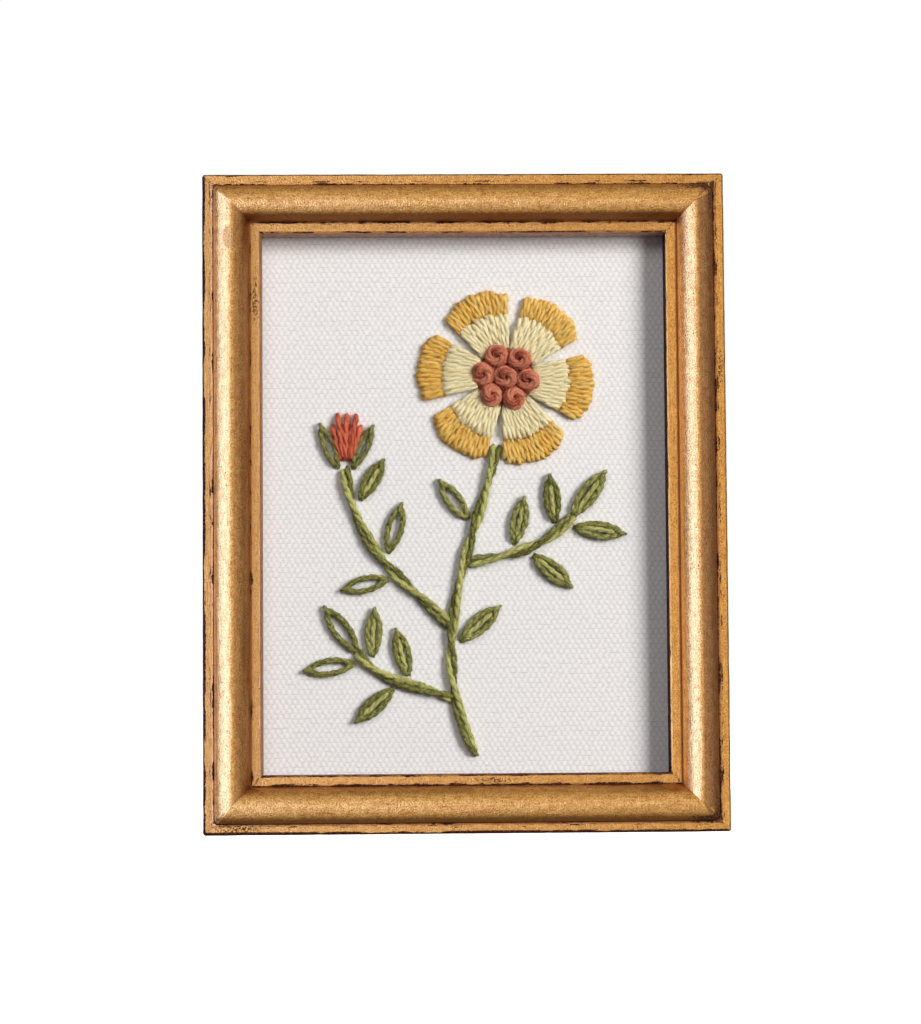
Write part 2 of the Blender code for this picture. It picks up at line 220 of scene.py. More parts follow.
# For a yarn of two or four plies, how far each lies from its middle and how thick it is
PLIES = {2: (0.34, 0.7), 4: (0.5, 0.52)}
PLY_TWIST = 8.0
TUBE_SIDES = 6
FINE_SIDES = 4
YARN_STEP = 0.55
HAIR_RADIUS = 0.05
HAIR_POINTS = 4
HAIRS_PER_MM = 2.0
STRANDS = 4
STRAND_RADIUS = 0.09
STRAND_TWIST = 7.0

# Camera, found from where the frame's corners lie in the photograph
CAMERA_PLACE = (-20.2, -853.5, 46.45)
CAMERA_PITCH = 3.51
CAMERA_ROLL = 0.41
CAMERA_YAW = -1.24
CAMERA_LENS = 97.0

# Lights: azimuth to the right of the camera and elevation in degrees, distance, width and height in
# metres, power, colour, and whether matt and glossy surfaces see it
WHITE = (1.0, 1.0, 1.0)
LIGHTS = {
    "key": (41, 6, 2.6, 0.93, 1.89, 93.0, WHITE, True, False),
    "slant": (-14, 30, 1.0, 0.4, 0.4, 2.1, WHITE, True, False),
    "gloss": (-51, -5, 1.0, 1.2, 1.3, 33.0, (0.18, 0.315, 1.0), False, True),
    "rear": (202, 28, 1.6, 1.2, 1.2, 26.0, WHITE, True, False),
}
FRONT_WAY = (-0.06, -0.99, 0.12)
FRONT_FILL = 0.86
SIDE_FILL = 0.25
MATT_FILL = 0.105

rng = np.random.default_rng(7)


# Meshes


def depth_to_y(t):
    return FRAME_DEPTH / 2 - t


def points_at(x, t, z):
    """Points of the object from places on the flat and depths."""
    return np.stack([x, depth_to_y(t), z], axis=-1)


class Weaver:
    """Gathers tubes of quads, with their yarn coordinates, for one mesh."""

    def __init__(self):
        self.places, self.quads, self.uvs, self.tones = [], [], [], []
        self.count = 0

    def add(self, rings, lengths, tone, uv_start):
        """A closed tube through rings of points; its ends are filled with strips of quads."""
        rows, sides = rings.shape[:2]
        ids = self.count + np.arange(rows * sides).reshape(rows, sides)
        after = np.roll(ids, -1, axis=1)
        walls = np.stack([ids[:-1], ids[1:], after[1:], after[:-1]], axis=-1).reshape(-1, 4)
        share = np.arange(sides) / sides
        u0 = np.repeat(lengths[:-1, None], sides, axis=1) + uv_start
        u1 = np.repeat(lengths[1:, None], sides, axis=1) + uv_start
        v0 = np.repeat(share[None, :], rows - 1, axis=0)
        v1 = v0 + 1 / sides
        wall_uv = np.stack([u0, v0, u1, v0, u1, v1, u0, v1], axis=-1).reshape(-1, 4, 2)
        tones = np.broadcast_to(tone, (rows,))
        t0 = np.repeat(tones[:-1, None], sides, axis=1)
        t1 = np.repeat(tones[1:, None], sides, axis=1)
        wall_tone = np.stack([t0, t1, t1, t0], axis=-1).reshape(-1, 4)
        caps = []
        for ring, flip in ((ids[0], False), (ids[-1], True)):
            for k in range(sides // 2 - 1):
                cap = [ring[k], ring[k + 1], ring[sides - 2 - k], ring[sides - 1 - k]]
                caps.append(cap[::-1] if flip else cap)
        half = len(caps) // 2
        cap_uv = np.zeros((len(caps), 4, 2))
        cap_uv[:half, :, 0] = lengths[0] + uv_start
        cap_uv[half:, :, 0] = lengths[-1] + uv_start
        cap_uv[:, :, 1] = 0.25
        cap_tone = np.zeros((len(caps), 4))
        cap_tone[:half] = tones[0]
        cap_tone[half:] = tones[-1]
        self.places.append(rings.reshape(-1, 3))
        self.quads += [walls, np.array(caps)]
        self.uvs += [wall_uv, cap_uv]
        self.tones += [wall_tone, cap_tone]
        self.count += rows * sides

    def build(self, name):
        quads = np.concatenate(self.quads)
        data = mesh_of_quads(name, np.concatenate(self.places), quads, np.concatenate(self.uvs))
        tones = np.concatenate(self.tones).ravel()
        layer = data.uv_layers.new(name="Tone", do_init=False)
        layer.uv.foreach_set("vector", np.stack([tones, np.zeros_like(tones)], axis=-1).ravel())
        data.shade_smooth()
        return data


def mesh_of_quads(name, places, quads, uvs):
    """A mesh from places in mm, quads and the UVs of their corners."""
    data = bpy.data.meshes.new(name)
    data.vertices.add(len(places))
    data.vertices.foreach_set("co", (np.asarray(places) * MM).astype(np.float32).ravel())
    data.loops.add(quads.size)
    data.loops.foreach_set("vertex_index", quads.astype(np.int32).ravel())
    data.polygons.add(len(quads))
    data.polygons.foreach_set("loop_start", np.arange(0, quads.size, 4, dtype=np.int32))
    layer = data.uv_layers.new(name="UVMap", do_init=False)
    layer.uv.foreach_set("vector", np.asarray(uvs).astype(np.float32).ravel())
    data.update(calc_edges=True)
    return data


def add_object(name, data):
    item = bpy.data.objects.new(name, data)
    bpy.context.scene.collection.objects.link(item)
    return item


def add_piece(name, data, material, slot, *nodes):
    """Puts a mesh in the scene in place of CAD nodes; it rides on the one fixed body."""
    piece = add_object(name, data)
    data.materials.append(material)
    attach(piece, "root")
    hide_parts(*nodes)
    return piece


# Materials


class Field:
    """A number in a tree of nodes. Sums and products of it, and | for the greater of two, add nodes."""

    def __init__(self, graph, socket):
        self.graph, self.socket = graph, socket

    def __add__(self, other):
        return self.graph.math("ADD", self, other)

    def __sub__(self, other):
        return self.graph.math("SUBTRACT", self, other)

    def __rsub__(self, other):
        return self.graph.math("SUBTRACT", other, self)

    def __mul__(self, other):
        return self.graph.math("MULTIPLY", self, other)

    def __or__(self, other):
        return self.graph.math("MAXIMUM", self, other)

    def clamped(self):
        self.socket.node.use_clamp = True
        return self


class Graph:
    """A short way to write nodes. Values may be numbers, tuples, sockets or fields."""

    def __init__(self, owner, shader="Principled BSDF"):
        owner.use_nodes = True
        self.owner = owner
        self.nodes = owner.node_tree.nodes
        self.links = owner.node_tree.links
        self.shader = self.nodes[shader]

    def put(self, value, socket):
        if isinstance(value, Field):
            value = value.socket
        if isinstance(value, bpy.types.NodeSocket):
            self.links.new(value, socket)
        elif isinstance(value, tuple) and len(value) == 3 and socket.type == "RGBA":
            socket.default_value = (*value, 1.0)
        else:
            socket.default_value = value

    def math(self, operation, *values):
        node = self.nodes.new("ShaderNodeMath")
        node.operation = operation
        for value, socket in zip(values, node.inputs):
            self.put(value, socket)
        return Field(self, node.outputs[0])

    def vector(self, x, y, z=0.0):
        node = self.nodes.new("ShaderNodeCombineXYZ")
        for value, socket in zip((x, y, z), node.inputs):
            self.put(value, socket)
        return node.outputs[0]

    def noise(self, vector, scale, detail=3.0, roughness=0.55):
        node = self.nodes.new("ShaderNodeTexNoise")
        self.put(vector, node.inputs["Vector"])
        node.inputs["Scale"].default_value = scale
        node.inputs["Detail"].default_value = detail
        node.inputs["Roughness"].default_value = roughness
        return Field(self, node.outputs[0])

    def remap(self, value, low, high, start=0.0, end=1.0):
        """Turns low..high smoothly into start..end, held beyond both."""
        node = self.nodes.new("ShaderNodeMapRange")
        node.interpolation_type = "SMOOTHSTEP"
        for number, socket in zip((value, low, high, start, end), node.inputs):
            self.put(number, socket)
        return Field(self, node.outputs[0])

    def band(self, value, middle, half, soft):
        """1 near the middle, falling to 0 from half to half + soft away from it."""
        away = self.math("ABSOLUTE", value - middle)
        return self.remap(away, half, half + soft, 1.0, 0.0)

    def mix(self, share, first, second):
        """A colour between two colours."""
        node = self.nodes.new("ShaderNodeMix")
        node.data_type = "RGBA"
        for value, number in ((share, 0), (first, 6), (second, 7)):
            self.put(value, node.inputs[number])
        return node.outputs[2]

    def choose(self, switch, otherwise, value):
        """A number where the switch is 1, and another one where it is 0."""
        node = self.nodes.new("ShaderNodeMix")
        for item, number in ((switch, 0), (otherwise, 2), (value, 3)):
            self.put(item, node.inputs[number])
        return Field(self, node.outputs[0])

    def uv(self, name):
        node = self.nodes.new("ShaderNodeUVMap")
        node.uv_map = name
        split = self.nodes.new("ShaderNodeSeparateXYZ")
        self.links.new(node.outputs[0], split.inputs[0])
        return Field(self, split.outputs[0]), Field(self, split.outputs[1])

    def bump(self, height, distance):
        node = self.nodes.new("ShaderNodeBump")
        node.inputs["Distance"].default_value = distance * MM
        self.put(height, node.inputs["Height"])
        self.links.new(node.outputs[0], self.shader.inputs["Normal"])

    def finish(self, **values):
        for name, value in values.items():
            self.put(value, self.shader.inputs[name.replace("_", " ")])
        return self.owner


def yarn_material(name):
    """Wool: fibres wind round each ply; the tone UV picks between a dark and a light dye, and shade is
    painted between the fibres.
    """
    dark, light, fibre_shade, streak = WOOLS[name]
    g = Graph(bpy.data.materials.new(name))
    along, around = g.uv("UVMap")
    tone, _ = g.uv("Tone")
    wound = around * 7.0 + along * 1.3
    fibre = g.noise(g.vector(along * 0.35, wound), 1.3, 4.0, 0.65)
    fine = g.noise(g.vector(along * 0.9, wound * 3.0), 1.5)
    slow = g.noise(g.vector(along * 0.11, 3.0), 1.0, 2.0)
    shade = tone + (fibre - 0.5) * (1.6 * streak) + (slow - 0.5) * 0.5
    shade = (shade + (fine - 0.5) * (1.6 * streak)).clamped()
    colour = g.mix(shade, dark, light)
    # Painted shade between the fibres.
    fibre_gap = g.remap(fibre, 0.28, 0.42, 0.75, 0.0)
    colour = g.mix(fibre_gap * 0.6, colour, fibre_shade)
    g.bump(fibre * 0.7 + fine * 0.4, 0.42)
    return g.finish(Base_Color=colour, Roughness=0.95, Specular_IOR_Level=0.1)


def cloth_material():
    """Plain weave: thick rows across, crossed by finer upright threads; the colour darkens where the
    weave is lower, a painted shade in the gaps.
    """
    g = Graph(bpy.data.materials.new("linen"))
    across, up = g.uv("UVMap")
    across = across + (g.noise(g.vector(across * 0.16, up), 0.45, 2.0) - 0.5) * 1.1
    up = up + (g.noise(g.vector(across * 0.5, up, 5.0), 0.6, 2.0) - 0.5) * 0.5
    row = g.math("SINE", up * math.pi)
    column = g.math("SINE", across * math.pi)
    # Painted shade in the gaps between rows.
    gap_shade = g.remap(g.math("ABSOLUTE", row), 0.0, 0.45, 1.0, 0.0)
    gap_shade = gap_shade * g.remap(g.noise(g.vector(across, up), 0.9, 2.0), 0.4, 0.62)
    thread = g.noise(g.vector(across * 0.35, up * 0.9), 1.0, 4.0)
    fibre = g.noise(g.vector(across, up), 2.6, 3.0, 0.7)
    height = row * column * 0.26 + fibre * 0.55 + thread * 0.35 - gap_shade * 0.62
    colour = g.mix(g.remap(height, -0.35, 0.85), *LINEN_AND_GAP_SHADE)
    g.bump(height, 0.085)
    return g.finish(Base_Color=colour, Roughness=0.95, Specular_IOR_Level=0.1, Sheen_Weight=0.1)


def board_material():
    g = Graph(bpy.data.materials.new("board"))
    place = g.nodes.new("ShaderNodeTexCoord").outputs["Object"]
    flecks = g.noise(place, 900.0, 4.0, 0.7)
    cloud = g.noise(place, 60.0, 4.0)
    colour = g.mix(g.remap(flecks * 0.6 + cloud * 0.5, 0.4, 0.75), *BOARD)
    g.bump(flecks, 0.08)
    return g.finish(Base_Color=colour, Roughness=0.9, Specular_IOR_Level=0.25)


class Gilding(Graph):
    """Gold leaf over red bole and black wood, black in the creases, with painted shade on the bead and
    fillets.

    The UV is the length along the rail and the arc length round its section, both in mm. The marks
    say where the parts of the section meet along the arc.
    """

    def __init__(self, marks):
        super().__init__(bpy.data.materials.new("gilt"))
        self.marks = marks
        self.along, self.arc = self.uv("UVMap")
        self.wax, self.mitre = self.uv("Wear")
        self.scuff, self.hammered = self.uv("Scuff")
        self.arris, self.wall_light = self.uv("Worn 0")
        self.outer_line, self.inner_line = self.uv("Worn 1")
        self.sight_line, self.outer_flank_shade = self.uv("Worn 2")
        self.inner_tone, self.lip_highlight = self.uv("Worn 3")
        self.dull, self.half_shade = self.uv("Worn 4")
        self.place = self.vector(self.along, self.arc)
        self.drift = self.noise(self.place, 0.14, 3.0) - 0.5
        self.jitter = self.noise(self.place, 1.0, 4.0, 0.7) - 0.5
        self.arc_soft = self.arc + self.drift * 1.2
        self.arc_rough = self.arc_soft + self.jitter * 1.5
        self.arc_near = self.arc + self.jitter * 0.8
        patch = self.noise(self.vector(self.along * 0.1, self.arc * 0.4), 1.0, 6.0, 0.7)
        self.patch = self.remap(patch, 0.3, 0.7)
        self.streak = self.noise(self.vector(self.along * 0.10, self.arc * 1.4), 1.0, 4.0, 0.6)
        self.mottle = self.noise(self.place, 0.45, 5.0, 0.65)
        self.hammer = self.noise(self.place, 1.9, 2.0, 0.5)
        self.grain = self.noise(self.place, 4.5, 3.0, 0.75)
        shade = self.streak * 0.35 + self.mottle * 0.6 + self.hammer * 0.8 + self.grain * 0.8
        self.shade = self.remap(shade, 1.02, 1.50)
        self.on_bead = self.band(self.arc_soft, marks["crest"], marks["bead_half"] - 0.9, 0.5)
        self.roughened = self.remap(self.scuff, 0.15, 0.6)
        # Painted shade at the bead's feet, beside the creases.
        self.foot = self.band(self.arc_soft, marks["outer_crease"] + 0.5, 0.4, 0.5)
        self.foot |= self.band(self.arc_soft, marks["inner_crease"] - 0.6, 0.5, 0.6)

    def leaf(self):
        """The gold: brushed lengthwise and hammered, flatter on the fillets, with painted shade on the
        fillets away from the light.
        """
        # Painted shade darkens the fillets of the rails away from the light.
        fillet = self.mix(self.dull, self.mix(self.shade, *LEAF_FILLET), FILLET_SHADE)
        colour = self.mix(self.on_bead, fillet, self.mix(self.shade, *LEAF_BEAD))
        return self.mix(self.roughened * 0.5, colour, self.mix(self.hammer, *LEAF_SCUFFED))

    def with_painted_shade(self, colour):
        """Painted shade: brown down each flank of the bead, brown down one half of it from its crest,
        and brown at its feet.
        """
        crest, reach = self.marks["crest"], self.marks["bead_half"] + 0.1
        inwards = self.arc_soft - crest + self.jitter * 2.2
        # Painted brown shade down the bead's flanks.
        flank_shade = self.remap(inwards, *FLANK_SHADE_REACH) * self.inner_tone
        flank_shade |= self.remap(inwards * -1.0, *FLANK_SHADE_REACH) * self.outer_flank_shade
        flank_shade = flank_shade * self.band(self.arc_soft, crest, reach, 0.3)
        colour = self.mix(flank_shade * 0.88, colour, FLANK_SHADE_BROWN)
        past = self.arc - crest + self.drift * 0.5
        # Painted shade down one half of the bead, from its crest.
        half_shade = (self.remap(past * -1.0, -0.2, 1.0) * self.half_shade).clamped()
        half_shade |= (self.remap(past, 0.2, 1.5) * (self.half_shade * -1.0)).clamped()
        half_shade = half_shade * self.band(self.arc, crest, reach, 0.3)
        colour = self.mix(half_shade, colour, self.mix(self.shade, *HALF_SHADE))
        # Painted shade at the bead's feet.
        return self.mix(self.foot * 0.75, colour, CREASE_SHADE_BROWN)

    def line(self, path, middle, amount, reach, softness):
        """A dark line that swells, breaks and vanishes along the rail."""
        width = self.remap(self.patch + amount, 0.6, 1.7, -softness, reach)
        away = self.math("ABSOLUTE", path - middle)
        return self.remap(away - width, 0.0, softness, 1.0, 0.0)

    def dirt(self):
        """Where wax or wood shows: in the creases, on the arrises, in corners, cracks and rubs."""
        outer, inner = self.marks["outer_crease"], self.marks["inner_crease"]
        dirt = self.line(self.arc_rough, outer - 0.1, self.outer_line, 0.75, 0.2)
        dirt |= self.line(self.arc_rough, inner - 0.15, self.inner_line, 0.7, 0.35)
        dirt |= self.line(self.arc_near, self.marks["outer_arris"] + 0.2, self.arris, 0.85, 0.2)
        dirt |= self.line(self.arc_rough, outer - 1.2, self.outer_line * 0.6, 0.4, 0.15)
        dirt |= self.line(self.arc_near, self.marks["inner_arris"] + 0.5, self.sight_line, 0.6, 0.2)
        clogged = self.band(self.arc_soft, outer + 1.7, 1.7, 1.9) + self.wax
        clogged = clogged + self.noise(self.place, 1.2, 5.0, 0.75) * 3.2
        fillet = 1.0 - self.on_bead
        crack = self.remap(self.mitre, 0.1, 1.2, 1.0, 0.0)
        crack = crack * self.remap(self.noise(self.place, 1.1, 4.0), 0.52, 0.6) * fillet
        crumbs = self.noise(self.place, 1.1, 5.0, 0.8) * 0.75 + self.grain * 0.25
        rubbed = (self.scuff * -1.0).clamped() * 0.095 + fillet * 0.025
        through = self.remap(crumbs + rubbed, 0.63, 0.66)
        speck = self.remap(self.noise(self.place, 1.3, 2.0, 0.5), 0.67, 0.72)
        dirt = dirt | self.remap(clogged, 3.06, 3.25) * 0.92 | through | crack * 0.8 | speck * 0.7
        red = self.remap(self.hammer, 0.54, 0.38) | through * 0.8
        return dirt, self.mix(red, WAX_BLACK, BOLE_RED)

    def lip_highlights(self, colour, dirt):
        """Painted highlight: a thin pale line of leaf beside the outer crease and along the inner arris,
        where the lip catches the light.
        """
        lip = self.band(self.arc_soft, self.marks["outer_crease"] - 0.6, 0.12, 0.22)
        lip |= self.band(self.arc_soft, self.marks["inner_arris"] + 0.1, 0.1, 0.3)
        # Painted highlight along the lips.
        lip = lip * (self.lip_highlight * self.remap(self.patch, 0.05, 0.35)) * (1.0 - dirt)
        return self.mix(lip * 0.7, colour, LIP_HIGHLIGHT)

    def stained(self, colour, dirt):
        """Dark sides, back and rebate, and a red-brown wall behind the sight edge with painted light and
        shade: pale where lit, near black where shaded.
        """
        arris, wall, rebate = (self.marks[key] for key in ("outer_arris", "wall", "rebate"))
        side = self.remap(self.arc_rough, arris - 0.1, arris + 0.3, 1.0, 0.0)
        back = self.remap(self.arc_rough, wall, wall + 0.3)
        # Painted light and shade on the wall: pale where lit, near black where shaded.
        pale = self.wall_light * self.remap(self.mottle, 0.35, 0.65, 0.55, 1.0)
        colour = self.mix(back, colour, self.mix(pale, *WALL_SHADE_TO_LIGHT))
        hidden = side | self.remap(self.arc, rebate, rebate + 0.3)
        return self.mix(hidden, colour, self.mix(self.streak, *STAIN)), side | back | dirt

    def build(self):
        colour = self.with_painted_shade(self.leaf())
        dirt, dirt_colour = self.dirt()
        colour = self.lip_highlights(self.mix(dirt, colour, dirt_colour), dirt)
        colour, bare = self.stained(colour, dirt)
        roughness = self.mottle * 0.2 + self.grain * 0.16 + self.remap(bare, 0.2, 0.9, 0.15, 0.45)
        beaten = self.hammered + 0.4 + self.roughened * 1.2
        height = self.streak * 0.4 + self.grain * 0.3 + self.hammer * beaten + self.mottle * 0.7
        self.bump(height - dirt * 0.6, 0.15)
        return self.finish(
            Base_Color=colour,
            # The painted shade at the bead's feet is less metallic.
            Metallic=(1.0 - (bare | self.foot * 0.6)).clamped(),
            Roughness=roughness + self.roughened * 0.22,
            Specular_IOR_Level=self.remap(bare, 0.2, 0.9, 0.5, 0.03),
        )


# Frame


def run(first, last, count):
    """Evenly spaced points from first towards last, without the last."""
    a, b = np.array(first), np.array(last)
    return [tuple(a + (b - a) * k / count) for k in range(count)]


def rail_section():
    """The moulding's outline as (s, t), closely spaced, and where its parts meet along it."""
    marks = {}
    outline = run((0.0, 0.0), (0.0, SIDE_DEPTH - ARRIS), 14)
    marks["outer_arris"] = len(outline)
    outline += run((0.0, SIDE_DEPTH - ARRIS), (ARRIS, SIDE_DEPTH), 2)
    outline += run((ARRIS, SIDE_DEPTH), (OUTER_FILLET, SIDE_DEPTH), 6)
    outline += run((OUTER_FILLET, SIDE_DEPTH), BEAD_OUTER, 1)
    marks["outer_crease"] = len(outline)
    middle = (BEAD_OUTER[0] + BEAD_INNER[0]) / 2
    half = (BEAD_INNER[0] - BEAD_OUTER[0]) / 2
    for step in range(BEAD_STEPS):
        angle = math.pi * step / BEAD_STEPS
        foot = BEAD_OUTER[1] if angle < math.pi / 2 else BEAD_INNER[1]
        round_part = (FRAME_DEPTH - KEEL - foot) * math.sin(angle)
        keel = KEEL * (1.0 - abs(math.cos(angle)))
        outline.append((middle - half * math.cos(angle), foot + round_part + keel))
        if step == BEAD_STEPS // 2:
            marks["crest"] = len(outline) - 1
    marks["inner_crease"] = len(outline)
    outline += run(BEAD_INNER, (INNER_FILLET, SIGHT_DEPTH), 1)
    outline += run((INNER_FILLET, SIGHT_DEPTH), (RAIL_WIDTH - ARRIS, SIGHT_DEPTH), 6)
    marks["inner_arris"] = len(outline)
    outline += run((RAIL_WIDTH - ARRIS, SIGHT_DEPTH), (RAIL_WIDTH, SIGHT_DEPTH - ARRIS), 2)
    marks["wall"] = len(outline)
    outline += run((RAIL_WIDTH, SIGHT_DEPTH - ARRIS), (RAIL_WIDTH, REBATE_DEPTH), 8)
    marks["rebate"] = len(outline)
    outline += run((RAIL_WIDTH, REBATE_DEPTH), (REBATE_S, REBATE_DEPTH), 4)
    outline += run((REBATE_S, REBATE_DEPTH), (REBATE_S, 0.0), 6)
    outline += run((REBATE_S, 0.0), (0.0, 0.0), 8)
    points = np.array(outline)
    legs = np.linalg.norm(np.diff(points, axis=0, append=points[:1]), axis=1)
    arc = np.concatenate([[0.0], np.cumsum(legs)])
    marks = {key: float(arc[number]) for key, number in marks.items()}
    marks["bead_half"] = (marks["inner_crease"] - marks["outer_crease"]) / 2
    marks["outer_crease"] -= 0.1
    marks["inner_crease"] += 0.3
    return points, arc, marks


def scuffed(rail, x, s):
    """How scuffed a place on a rail is: towards 1 where roughened, towards -1 where rubbed through."""
    total = 0.0
    for scuffed_rail, scuff_x, scuff_s, half_x, half_s, kind in SCUFFS:
        if scuffed_rail == rail:
            off = ((x - scuff_x) / half_x) ** 2 + ((s - scuff_s) / half_s) ** 2
            total += kind * math.exp(-(off**2))
    return total


def cut_back(radius, distance):
    """How far a rounded corner lies inside a square one, this far from the corner."""
    bite = max(0.0, radius - distance)
    return radius - math.sqrt(max(0.0, radius**2 - bite**2))


def worn(x, s, t, v, from_corner, corner, scuff, seed):
    """Where a point of the true section lies on the real rail, as s and t."""
    middle = (BEAD_OUTER[0] + BEAD_INNER[0]) / 2
    out = Vector((s - middle, t - FRAME_DEPTH + BEAD_HEART)).normalized()
    on_bead = min(1.0, max(0.0, 1.0 - abs(s - middle) / BEAD_REACH)) if t > GILT_FLOOR else 0.0
    slow = noise.noise(Vector((x / 16.0 + seed, s / 6.0, 0.0))) * BEAD_WAVER * on_bead**0.5
    fine = noise.noise(Vector((x / 2.3 + seed, v / 2.3, 4.0))) * HAMMERED * (1.0 if t > 17.0 else 0.4)
    rough = noise.noise(Vector((x / 1.3 + seed, v / 1.1, 9.0))) - 0.5
    push = out * (slow + fine + SCUFF_DEPTH * max(0.0, scuff) * rough)
    s_new, t_new = s + push.x, t + push.y
    if s < OUTER_FILLET + 0.3:
        edge = abs(noise.noise(Vector((x / 9.0 + seed, 7.0, t / 9.0)))) * FILLET_WAVER
        s_new = max(s_new, s) + edge * max(0.0, 1.0 - s / 2.0)
        t_new = t_new if t > 1.0 else t
        s_new += cut_back(CORNER_RADIUS, from_corner + s) * 0.7 * max(0.0, 1.0 - s / 2.0)
    if OUTER_FILLET - 0.2 <= s < middle and t > GILT_FLOOR:
        cut = cut_back(CORNER_ROUND[corner], from_corner)
        s_new += cut * 0.8 * (middle - s) / (middle - OUTER_FILLET)
    return s_new, t_new


def rail_rings(name, section, half_length, half_across, corners, seed):
    """Rings of points from mitre to mitre, and each point's wax, distance from the mitre and scuff."""
    points, arc, _ = section
    inner_count = round((half_length - END_STOPS[-1]) / RAIL_STEP) + 1
    stops = np.concatenate([END_STOPS, np.linspace(END_STOPS[-1], half_length, inner_count)[1:]])
    ends = [(-1, stop) for stop in stops] + [(1, stop) for stop in stops[-2::-1]]
    rings, wear = [], []
    for side, stop in ends:
        corner = corners[0] if side < 0 else corners[1]
        ring, ring_wear = [], []
        for (s, t), v in zip(points, arc):
            full = half_length - s
            x = side * (full - stop * full / half_length)
            from_corner = full - abs(x)
            scuff = scuffed(name, x, s) if t > GILT_FLOOR else 0.0
            s_new, t_new = worn(x, s, t, v, from_corner, corner, scuff, seed)
            ring.append((x, depth_to_y(t_new), s_new - half_across))
            near = max(0.0, 1.0 - from_corner / WAX_REACH)
            ring_wear.append((CORNER_WAX[corner] * near**0.7, from_corner, scuff))
        rings.append(ring)
        wear.append(ring_wear)
    return np.array(rings), np.array(wear)


def add_rail(name, section, half_length, half_across, turn, corners, number, material):
    """One rail, swept from mitre to mitre with a hand-made waver, hammered leaf and worn corners."""
    arc = section[1]
    rings, wear = rail_rings(name, section, half_length, half_across, corners, 40.0 * number)
    rows, sides = rings.shape[:2]
    ids = np.arange(rows * sides).reshape(rows, sides)
    after = np.roll(ids, -1, axis=1)
    quads = np.stack([ids[:-1], after[:-1], after[1:], ids[1:]], axis=-1).reshape(-1, 4)
    u = rings[:, :, 0] + 400.0 * number
    v0 = np.broadcast_to(arc[:-1], (rows, sides))
    v1 = np.broadcast_to(arc[1:], (rows, sides))
    u_after = np.roll(u, -1, axis=1)
    corners_uv = [u[:-1], v0[:-1], u_after[:-1], v1[:-1], u_after[1:], v1[1:], u[1:], v0[1:]]
    uvs = np.stack(corners_uv, axis=-1).reshape(-1, 4, 2)
    wear = wear.reshape(-1, 3)[quads.ravel()]
    data = mesh_of_quads(name, rings.reshape(-1, 3), quads, uvs)
    *shares, hammered = RAIL_WEAR_AND_PAINTED_LIGHT[name]
    layers = {"Wear": wear[:, :2]}
    layers["Scuff"] = np.stack([wear[:, 2], np.full(len(wear), hammered)], axis=-1)
    for pair in range(len(shares) // 2):
        layers[f"Worn {pair}"] = np.tile(shares[2 * pair : 2 * pair + 2], (len(wear), 1))
    for layer_name, values in layers.items():
        layer = data.uv_layers.new(name=layer_name, do_init=False)
        layer.uv.foreach_set("vector", values.astype(np.float32).ravel())
    bm = bmesh.new()
    bm.from_mesh(data)
    bmesh.ops.holes_fill(bm, edges=[edge for edge in bm.edges if edge.is_boundary], sides=0)
    bmesh.ops.recalc_face_normals(bm, faces=bm.faces)
    bm.to_mesh(data)
    bm.free()
    placed = Matrix.Translation((0.0, 0.0, FRAME_HEIGHT / 2 * MM))
    data.transform(placed @ Matrix.Rotation(math.radians(turn), 4, "Y"))
    data.shade_smooth()
    data.set_sharp_from_angle(angle=math.radians(38.0))
    add_piece(f"gilt_{name}", data, material, "gilt", name)


# Cloth


def soft_wave(a, b, seed):
    """A smooth, uneven wave over two fields of numbers, between about -1 and 1."""
    waves = np.random.default_rng(seed)
    total = np.zeros(np.broadcast(a, b).shape)
    for _ in range(6):
        pace = waves.uniform(0.5, 2.0, 2) * waves.choice([-1, 1], 2)
        total += np.sin(a * pace[0] + b * pace[1] + waves.uniform(0, 2 * math.pi))
    return total / 3.0


def rounded_ring(half_width, half_height, radius, counts):
    """Points round a rectangle with round corners, the same number for every ring."""
    across, up = counts
    ring = []
    corners = ((1, 1, 0), (-1, 1, 90), (-1, -1, 180), (1, -1, 270))
    for (sx, sz, start), count in zip(corners, (across, up, across, up)):
        cx, cz = sx * (half_width - radius), sz * (half_height - radius)
        arc = []
        for k in range(CORNER_POINTS):
            angle = math.radians(start + 90 * k / (CORNER_POINTS - 1))
            arc.append((cx + radius * math.cos(angle), cz + radius * math.sin(angle)))
        ring += arc
        far = {0: (-(half_width - radius), half_height), 90: (-half_width, -(half_height - radius))}
        far |= {180: (half_width - radius, -half_height), 270: (half_width, half_height - radius)}
        ring += [tuple(p) for p in run(arc[-1], far[start], count)[1:]]
    return ring


